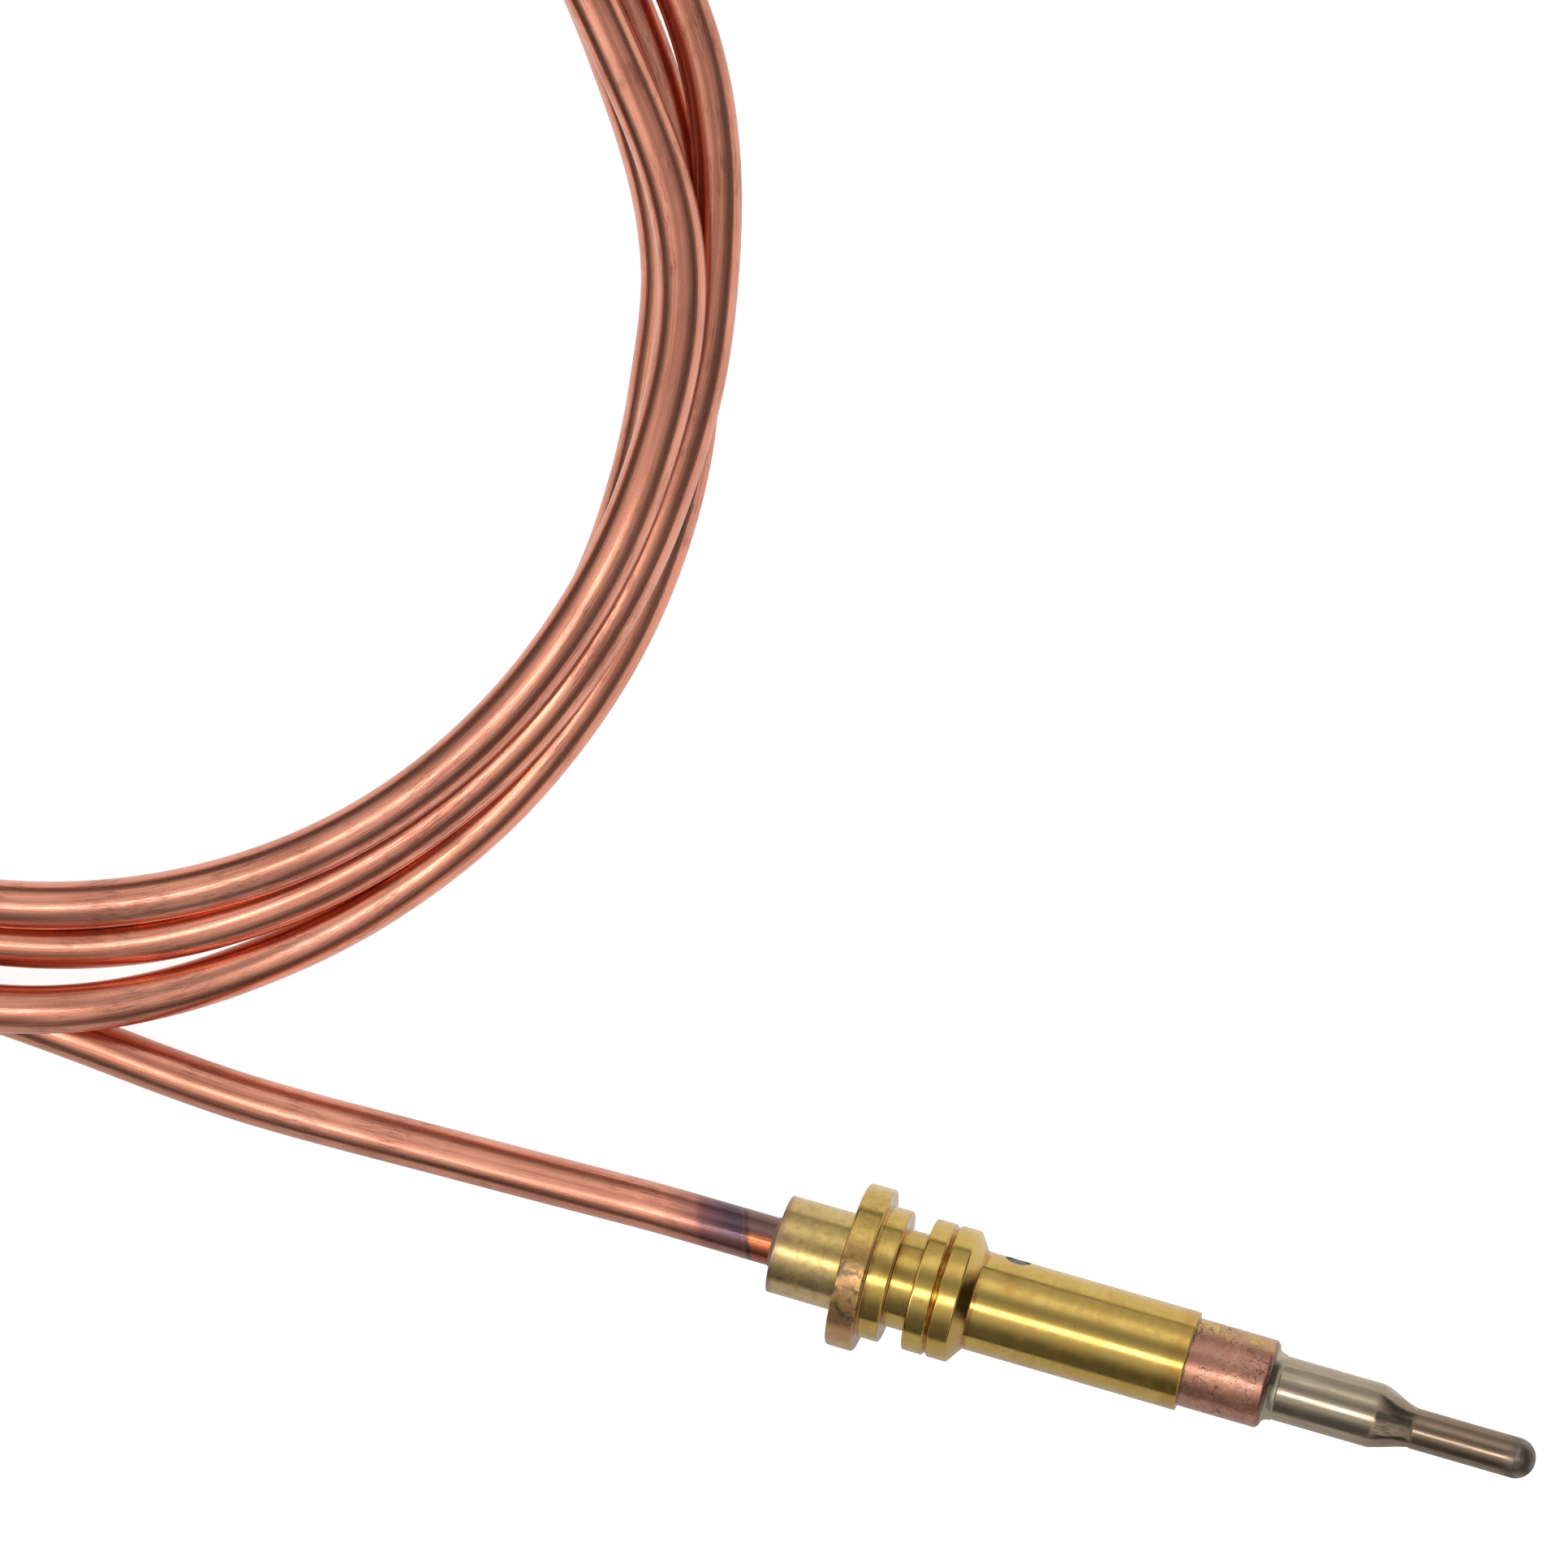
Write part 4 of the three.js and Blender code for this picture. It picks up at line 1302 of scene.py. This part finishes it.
def jaw_cutter(angle, lift):
    """A wedge that cuts one jaw's flat: its floor falls toward the tip, and its back wall is askew."""
    size = settings().tip
    floor_back, floor_front, skew = 1.86 * MM, 1.12 * MM, 0.16 * MM
    middle = (size.jaw_start + size.jaw_end) / 2
    long, wide, tall = size.jaw_end - size.jaw_start, 3.2 * MM, 2.0 * MM
    bpy.ops.object.select_all(action="DESELECT")
    bpy.ops.mesh.primitive_cube_add(size=1, location=(0, 0, 0))
    cutter = start_piece("jaw_cutter")
    bpy.ops.mesh.select_all(action="SELECT")
    bpy.ops.transform.resize(value=(long, wide, tall), center_override=(0, 0, 0))
    bpy.ops.transform.translate(value=(middle, 0, lift + floor_back + tall / 2))
    pick(cutter, lambda co: co.z < lift + floor_back + tall / 2 and co.x > middle)
    bpy.ops.transform.translate(value=(0, 0, floor_front - floor_back))
    pick(cutter, lambda co: co.x < middle and co.y > 0)
    bpy.ops.transform.translate(value=(-skew * 0.4, 0, 0))
    pick(cutter, lambda co: co.x < middle and co.y < 0)
    bpy.ops.transform.translate(value=(skew * 1.6, 0, 0))
    object_mode()
    cutter.data.transform(Matrix.Translation((BOSS_X, 0, AXIS_Z)) @ Matrix.Rotation(angle, 4, "X"))
    return cutter


def push_tip_aside(piece):
    """The swaging left the thin tip a little off the axis."""
    size = settings().tip
    for vertex in piece.data.vertices:
        station = vertex.co.x - BOSS_X
        t = min(max((station - size.taper_start) / (size.taper_end - size.taper_start), 0), 1)
        vertex.co.y -= size.tip_offset * (3 * t * t - 2 * t**3)


class MakeSheath(bpy.types.Operator):
    """Draws the nickel-alloy sheath, swages its tip and closes it with the welded dome"""
    bl_idname = "thermocouple.make_sheath"
    bl_label = "Sheath and welded tip"

    def execute(self, context):
        size = settings().tip
        start, end = 15.0 * MM, SHEATH_END
        outer = [(start, size.sheath_radius, 0.05)]
        outer += [(station * MM, size.sheath_radius, 0) for station in (20, 25, 30, 33, 36, 37)]
        inner = []
        rings = 26
        for index in range(rings + 1):
            t = index / rings
            station = size.taper_start + (size.taper_end - size.taper_start) * t
            share = 0.5 + 0.5 * math.cos(math.pi * t)
            radius = size.tip_radius + (size.sheath_radius - size.tip_radius) * share
            outer.append((station, radius, 0))
            if index % 3 == 0:
                inner.append((station, radius - size.wall, 0))
        outer += [(station * MM, size.tip_radius, 0) for station in (41.5, 43.0, 44.5, 45.5)]
        outer.append((end, size.tip_radius, 0.04))
        corners = outer + [(end, size.tip_radius - size.wall, 0)] + list(reversed(inner))
        corners.append((start, size.sheath_radius - size.wall, 0))
        piece = turn("swaged_sheath", "head", corners, 160)
        for degrees, lift in JAW_MARKS:
            cut(piece, jaw_cutter(math.radians(-degrees), lift * MM))
        push_tip_aside(piece)
        complete(piece, "sheath_nickel", ["sheath"], degrees=13)

        # The weld is a dome a little fuller than a half sphere, which starts just inside the sheath's end.
        dome, fullness = 1.24 * MM, 0.94
        corners = [(46.06 * MM, 0, 0), (46.06 * MM, 1.15 * MM, 0), (46.10 * MM, 1.235 * MM, 0)]
        rings = 20
        for index in range(1, rings + 1):
            angle = math.pi / 2 * index / rings
            radius = 0 if index == rings else dome * math.cos(angle) ** fullness
            corners.append((end + dome * math.sin(angle), radius, 0))
        weld = turn("welded_tip", "head", corners, 128)
        uneven(weld, 0.02 * MM, 0.5 * MM)
        push_tip_aside(weld)
        complete(weld, "tip_weld", ["junction_weld"], degrees=40)
        return {"FINISHED"}


def cut_thread(piece, start, end):
    """Cuts a helix into the turned crest between two stations, by moving its vertices toward the axis."""
    size = settings().cold
    pitch = size.thread_pitch
    # The thread's depth, crest and flank are shares of its pitch. It fades in and out at its ends.
    depth, crest, flank_width = 0.58 * pitch, 0.14, 0.62
    fade_in, fade_out = 0.9 * MM, 0.75 * MM
    for vertex in piece.data.vertices:
        along = vertex.co.y - COLD_Y
        out = Vector((vertex.co.x - COLD_X, 0, vertex.co.z - COLD_Z))
        on_crest = out.length >= size.thread_radius - SAME_PLACE
        if not on_crest or not start + 0.3 * MM <= along < end + SAME_PLACE:
            continue
        phase = (along / pitch - math.atan2(out.x, out.z) / (2 * math.pi)) % 1.0
        flank = min(abs(phase - 0.5) * 2, 1.0)
        fall = min(max((flank - crest) / flank_width, 0.0), 1.0)
        run_out = min((along - start) / fade_in, 1.0)
        lead_in = max(0.0, along - (size.nut_end - fade_out))
        radius = size.thread_radius - depth * fall
        radius = min(radius, size.thread_radius - lead_in * 0.9)
        radius = size.nut_relief_radius + (radius - size.nut_relief_radius) * run_out
        vertex.co.x = COLD_X + out.x / out.length * radius
        vertex.co.z = COLD_Z + out.z / out.length * radius


class MakeNut(bpy.types.Operator):
    """Turns, threads and mills the union nut, which spins on the lead"""
    bl_idname = "thermocouple.make_nut"
    bl_label = "Union nut"

    def execute(self, context):
        size = settings().cold
        corner_radius = size.nut_across / 2 / math.cos(math.pi / 6)
        chamfer = corner_radius - size.nut_across / 2 + 0.1 * MM
        thread_start, thread_end = size.nut_relief_end, size.nut_end - 0.05 * MM
        corners = [
            (0, size.nut_bore_radius, 0.08),
            (0, corner_radius - chamfer, 0.05),
            (chamfer * 0.58, corner_radius, 0),
            (size.nut_hex_end - chamfer * 0.58, corner_radius, 0),
            (size.nut_hex_end, corner_radius - chamfer, 0.05),
            (size.nut_hex_end, size.nut_relief_radius, 0.15),
            (thread_start, size.nut_relief_radius, 0.05),
        ]
        rings = 110
        for index in range(rings + 1):
            station = thread_start + 0.35 * MM + (thread_end - thread_start - 0.35 * MM) * index / rings
            corners.append((station, size.thread_radius, 0))
        corners += [
            (size.nut_end, size.seat_radius + 0.12 * MM, 0),
            (size.nut_end, size.seat_radius, 0),
            (size.seat_start, size.nut_bore_radius, 0.05),
        ]
        piece = turn("union_nut_threaded", "cold", corners, 144)
        cut_thread(piece, thread_start, thread_end)

        bpy.ops.object.select_all(action="DESELECT")
        # One corner of the six points to +X, so a flat is on top.
        bpy.ops.mesh.primitive_cylinder_add(vertices=6, radius=corner_radius, depth=30 * MM,
                                            location=(COLD_X, COLD_Y, COLD_Z),
                                            rotation=(math.pi / 2, math.pi / 6, 0))
        bpy.ops.object.transform_apply(location=True, rotation=True, scale=True)
        cut(piece, bpy.context.active_object, "INTERSECT")
        complete(piece, "nut_brass", ["union_nut"], body=NUT_BODY, degrees=24)
        return {"FINISHED"}


class MakeContact(bpy.types.Operator):
    bl_idname = "thermocouple.make_contact"
    bl_label = "Ferrule and contact"

    def execute(self, context):
        size = settings().cold
        start, end = FERRULE_START, FERRULE_END
        ferrule = turn("end_ferrule_turned", "cold", [
            (start, size.ferrule_bore_radius, 0.03),
            (start, size.ferrule_back_radius, 0.06),
            (start + size.ferrule_radius - size.ferrule_back_radius, size.ferrule_radius, 0.12),
            (end - 0.4 * MM, size.ferrule_radius, 0.1),
            (end, size.ferrule_radius - 0.4 * MM, 0.06),
            (end, 2.15 * MM, 0.03),
            (FERRULE_SEAT, 1.65 * MM, 0.02),
            (FERRULE_SEAT, size.ferrule_bore_radius, 0.02),
        ], 128)
        complete(ferrule, "nut_brass", ["end_ferrule"], degrees=24)

        fill = turn("ferrule_braze_fill", "cold", [
            (FERRULE_SEAT, 1.0 * MM, 0.02),
            (FERRULE_SEAT, 1.58 * MM, 0.04),
            (end, 2.08 * MM, 0.04),
            (end, 1.0 * MM, 0.04),
        ], 96)
        complete(fill, "flowed_braze", ["ferrule_braze"], degrees=40)

        washer = turn("fibre_washer", "cold", [
            (end, 0.6 * MM, 0.04),
            (end, size.washer_radius, 0.08),
            (WASHER_END, size.washer_radius, 0.08),
            (WASHER_END, 0.6 * MM, 0.04),
        ], 96)
        complete(washer, "pressed_fibre", ["insulating_washer"], degrees=40)

        contact = turn("solder_contact", "cold", [
            (WASHER_END, 0, 0),
            (WASHER_END, size.button_radius - 0.05 * MM, 0.06),
            (13.25 * MM, size.button_radius - 0.02 * MM, 0.06),
            (13.7 * MM, size.button_radius - 0.03 * MM, 0.18),
            (14.1 * MM, size.button_face_radius + 0.44 * MM, 0.18),
            (CONTACT_END, size.button_face_radius, 0.18),
            (CONTACT_END, size.button_face_radius * 0.5, 0),
            (CONTACT_END, 0, 0),
        ], 96)
        uneven(contact, 0.04 * MM, 0.7 * MM)
        complete(contact, "dull_solder", ["contact_button"], degrees=40)

        lead_path()
        return {"FINISHED"}


INNER_FINISHES = {
    "core_wire": "constantan_wire",
    "core_insulator": "ceramic",
    "conductor_hot": "inner_copper",
    "conductor_sleeve_hot": "glass_braid_head",
    "splice_ferrule": "inner_copper",
    "splice_insulator": "glass_braid_head",
    "conductor_cold": "inner_copper",
    "conductor_sleeve_cold": "glass_braid_cold",
}


class FinishInside(bpy.types.Operator):
    """Gives the pieces inside the head and the ferrule their finishes"""
    bl_idname = "thermocouple.finish_inside"
    bl_label = "Inner pieces"

    def execute(self, context):
        for name, wanted in INNER_FINISHES.items():
            node = bpy.data.objects[name]
            if not node.material_slots:
                node.data.materials.append(None)
            for place in node.material_slots:
                place.material = finish(wanted)
        return {"FINISHED"}


# The floor's own glow as the camera sees it, as metal sees it, and as metal sees it in the painted shadow on
# the near side.
FLOOR_GLOW = 0.85
FLOOR_GLOW_ON_METAL = 0.42
FLOOR_GLOW_PAINTED_SHADOW = 0.08
# The room's brightness against a lean toward +Y, for leans toward -X, for none and for leans toward +X.
ROOM_LEFT = (
    (-180, 1.0), (-117, 0.35), (-97, 0.15), (-78, 0.12), (-64, 0.28), (-50, 0.62), (-36, 1.05),
    (-24, 1.40), (-11, 1.10), (3, 0.78), (15, 0.74), (25, 0.98), (41, 1.00), (53, 0.82), (66, 0.66),
    (85, 0.58), (118, 0.70), (180, 1.0),
)
ROOM_MIDDLE = (
    (-180, 1.0), (-100, 0.30), (-87, 0.08), (-69, 0.04), (-58, 0.07), (-46, 0.24), (-34, 0.54),
    (-24, 0.68), (-4, 0.70), (5, 0.46), (17, 0.30), (27, 0.46), (38, 1.02), (48, 1.20), (60, 0.74),
    (76, 0.50), (94, 0.70), (120, 0.95), (180, 1.0),
)
ROOM_RIGHT = (
    (-180, 1.0), (-100, 0.50), (-70, 0.48), (-55, 0.62), (-42, 0.85), (-24, 1.10), (-5, 0.78),
    (10, 0.58), (30, 0.64), (46, 0.66), (68, 0.60), (93, 0.62), (120, 0.80), (180, 1.0),
)
# The leans toward +X, in degrees, over which one of those three goes over into the next.
LEFT_TO_MIDDLE = (-20.0, -8.0)
MIDDLE_TO_RIGHT = (3.0, 12.0)
# The share of that brightness that is left at a lean toward +X.
ROOM_BY_X = (
    (-180, 1.0), (-112, 0.75), (-96, 0.30), (-84, 0.10), (-62, 0.10), (-50, 0.38), (-38, 0.82),
    (-28, 1.0), (16, 0.95), (30, 0.72), (44, 0.42), (60, 0.16), (88, 0.14), (104, 0.45), (180, 1.0),
)
# The key panel: where it lies in degrees, how askew it runs, half its width, its soft edge, its brightness.
KEY_X, KEY_Y, KEY_SKEW = -5.0, -10.5, 0.80
KEY_HALF, KEY_SOFT = 4.6, 2.6
KEY_BY_X = (
    (-180, 0.0), (-60, 0.0), (-46, 0.3), (-32, 1.2), (-22, 2.0), (-14, 2.6), (-8, 4.5), (4, 4.5),
    (11, 1.4), (20, 0.0), (180, 0.0),
)


class MakeStage(bpy.types.Operator):
    """Lays the pale floor and sets the soft studio light"""
    bl_idname = "thermocouple.make_stage"
    bl_label = "Stage and light"

    def execute(self, context):
        bpy.ops.object.select_all(action="DESELECT")
        bpy.ops.mesh.primitive_plane_add(size=6, location=(0, 0, 0))
        floor = bpy.context.active_object
        floor.name = "floor"
        made, tree, shader = new_material("floor_white")
        plug(tree, (0.75, 0.75, 0.75), shader.inputs["Base Color"])
        plug(tree, 0.9, shader.inputs["Roughness"])
        plug(tree, (1.0, 1.0, 1.0), shader.inputs["Emission Color"])
        seen = add_node(tree, "ShaderNodeLightPath").outputs["Is Camera Ray"]
        # Painted shadow: metal sees the floor darker on the near side of the head and the tail.
        across = add_node(tree, "ShaderNodeSeparateXYZ", {0: object_place(tree)}).outputs[1]
        glow_on_metal_with_painted_shadow = ramp_value(tree, across, -4.5 * MM, -0.5 * MM, FLOOR_GLOW_PAINTED_SHADOW, FLOOR_GLOW_ON_METAL)
        glow = blend_value(tree, seen, glow_on_metal_with_painted_shadow, FLOOR_GLOW)
        plug(tree, glow, shader.inputs["Emission Strength"])
        floor.data.materials.append(made)
        self.make_world(context)
        context.scene.view_settings.view_transform = "Standard"
        return {"FINISHED"}

    def make_world(self, context):
        world = bpy.data.worlds.new("studio")
        world.use_nodes = True
        context.scene.world = world
        tree = world.node_tree
        background = next(item for item in tree.nodes if item.type == "BACKGROUND")
        direction = add_node(tree, "ShaderNodeTexCoord").outputs["Generated"]
        parts = add_node(tree, "ShaderNodeSeparateXYZ", {0: direction})
        to_y = lean_angle(tree, parts.outputs[1], parts.outputs[2])
        to_x = lean_angle(tree, parts.outputs[0], parts.outputs[2])
        rooms = (ROOM_LEFT, ROOM_MIDDLE, ROOM_RIGHT)
        left, middle, right = (level_ramp(tree, to_y, stops) for stops in rooms)
        level = blend_value(tree, ramp_value(tree, to_x, *LEFT_TO_MIDDLE), left, middle)
        level = blend_value(tree, ramp_value(tree, to_x, *MIDDLE_TO_RIGHT), level, right)
        level = maths(tree, "MULTIPLY", level, level_ramp(tree, to_x, ROOM_BY_X))
        # The key panel runs askew: the further it lies toward -X, the further it lies toward -Y.
        askew = maths(tree, "MINIMUM", maths(tree, "SUBTRACT", to_x, KEY_X), 0.0)
        off_y = maths(tree, "SUBTRACT", to_y, add_share(tree, askew, KEY_SKEW, KEY_Y))
        glow = maths(tree, "MULTIPLY", band(tree, off_y, -KEY_HALF, KEY_HALF, KEY_SOFT),
                     level_ramp(tree, to_x, KEY_BY_X))
        level = maths(tree, "ADD", level, glow)
        shade = add_node(tree, "ShaderNodeCombineXYZ", {"X": level, "Y": level, "Z": level})
        tree.links.new(shade.outputs[0], background.inputs["Color"])
        plug(tree, 1.0, background.inputs["Strength"])


OPERATORS = (MakeCamera, MakeLead, MakeHead, MakeBrazing, MakeSheath, MakeNut, MakeContact, FinishInside,
             MakeStage)


class ThermocouplePanel(bpy.types.Panel):
    """Buttons that build the thermocouple piece by piece"""
    bl_idname = "VIEW3D_PT_thermocouple"
    bl_label = "Thermocouple"
    bl_space_type = "VIEW_3D"
    bl_region_type = "UI"
    bl_category = "Thermocouple"

    def draw(self, context):
        for maker in OPERATORS:
            self.layout.operator(maker.bl_idname)
        tone = context.scene.thermocouple.finish
        for name in ("brass", "copper", "nickel", "braze"):
            self.layout.prop(tone, name)


GROUPS = (ThermocoupleHeadSizes, ThermocoupleTipSizes, ThermocoupleLeadSizes, ThermocoupleColdSizes,
          ThermocoupleFinishes, ThermocoupleSettings)


def register():
    for item in (*GROUPS, *OPERATORS, ThermocouplePanel):
        bpy.utils.register_class(item)
    bpy.types.Scene.thermocouple = bpy.props.PointerProperty(type=ThermocoupleSettings, name="Thermocouple",
                                                             description="Sizes and finishes")


def unregister():
    del bpy.types.Scene.thermocouple
    for item in reversed((*GROUPS, *OPERATORS, ThermocouplePanel)):
        bpy.utils.unregister_class(item)


def main():
    register()
    for maker in OPERATORS:
        family, _, name = maker.bl_idname.partition(".")
        getattr(getattr(bpy.ops, family), name)()


if __name__ == "__main__":
    main()
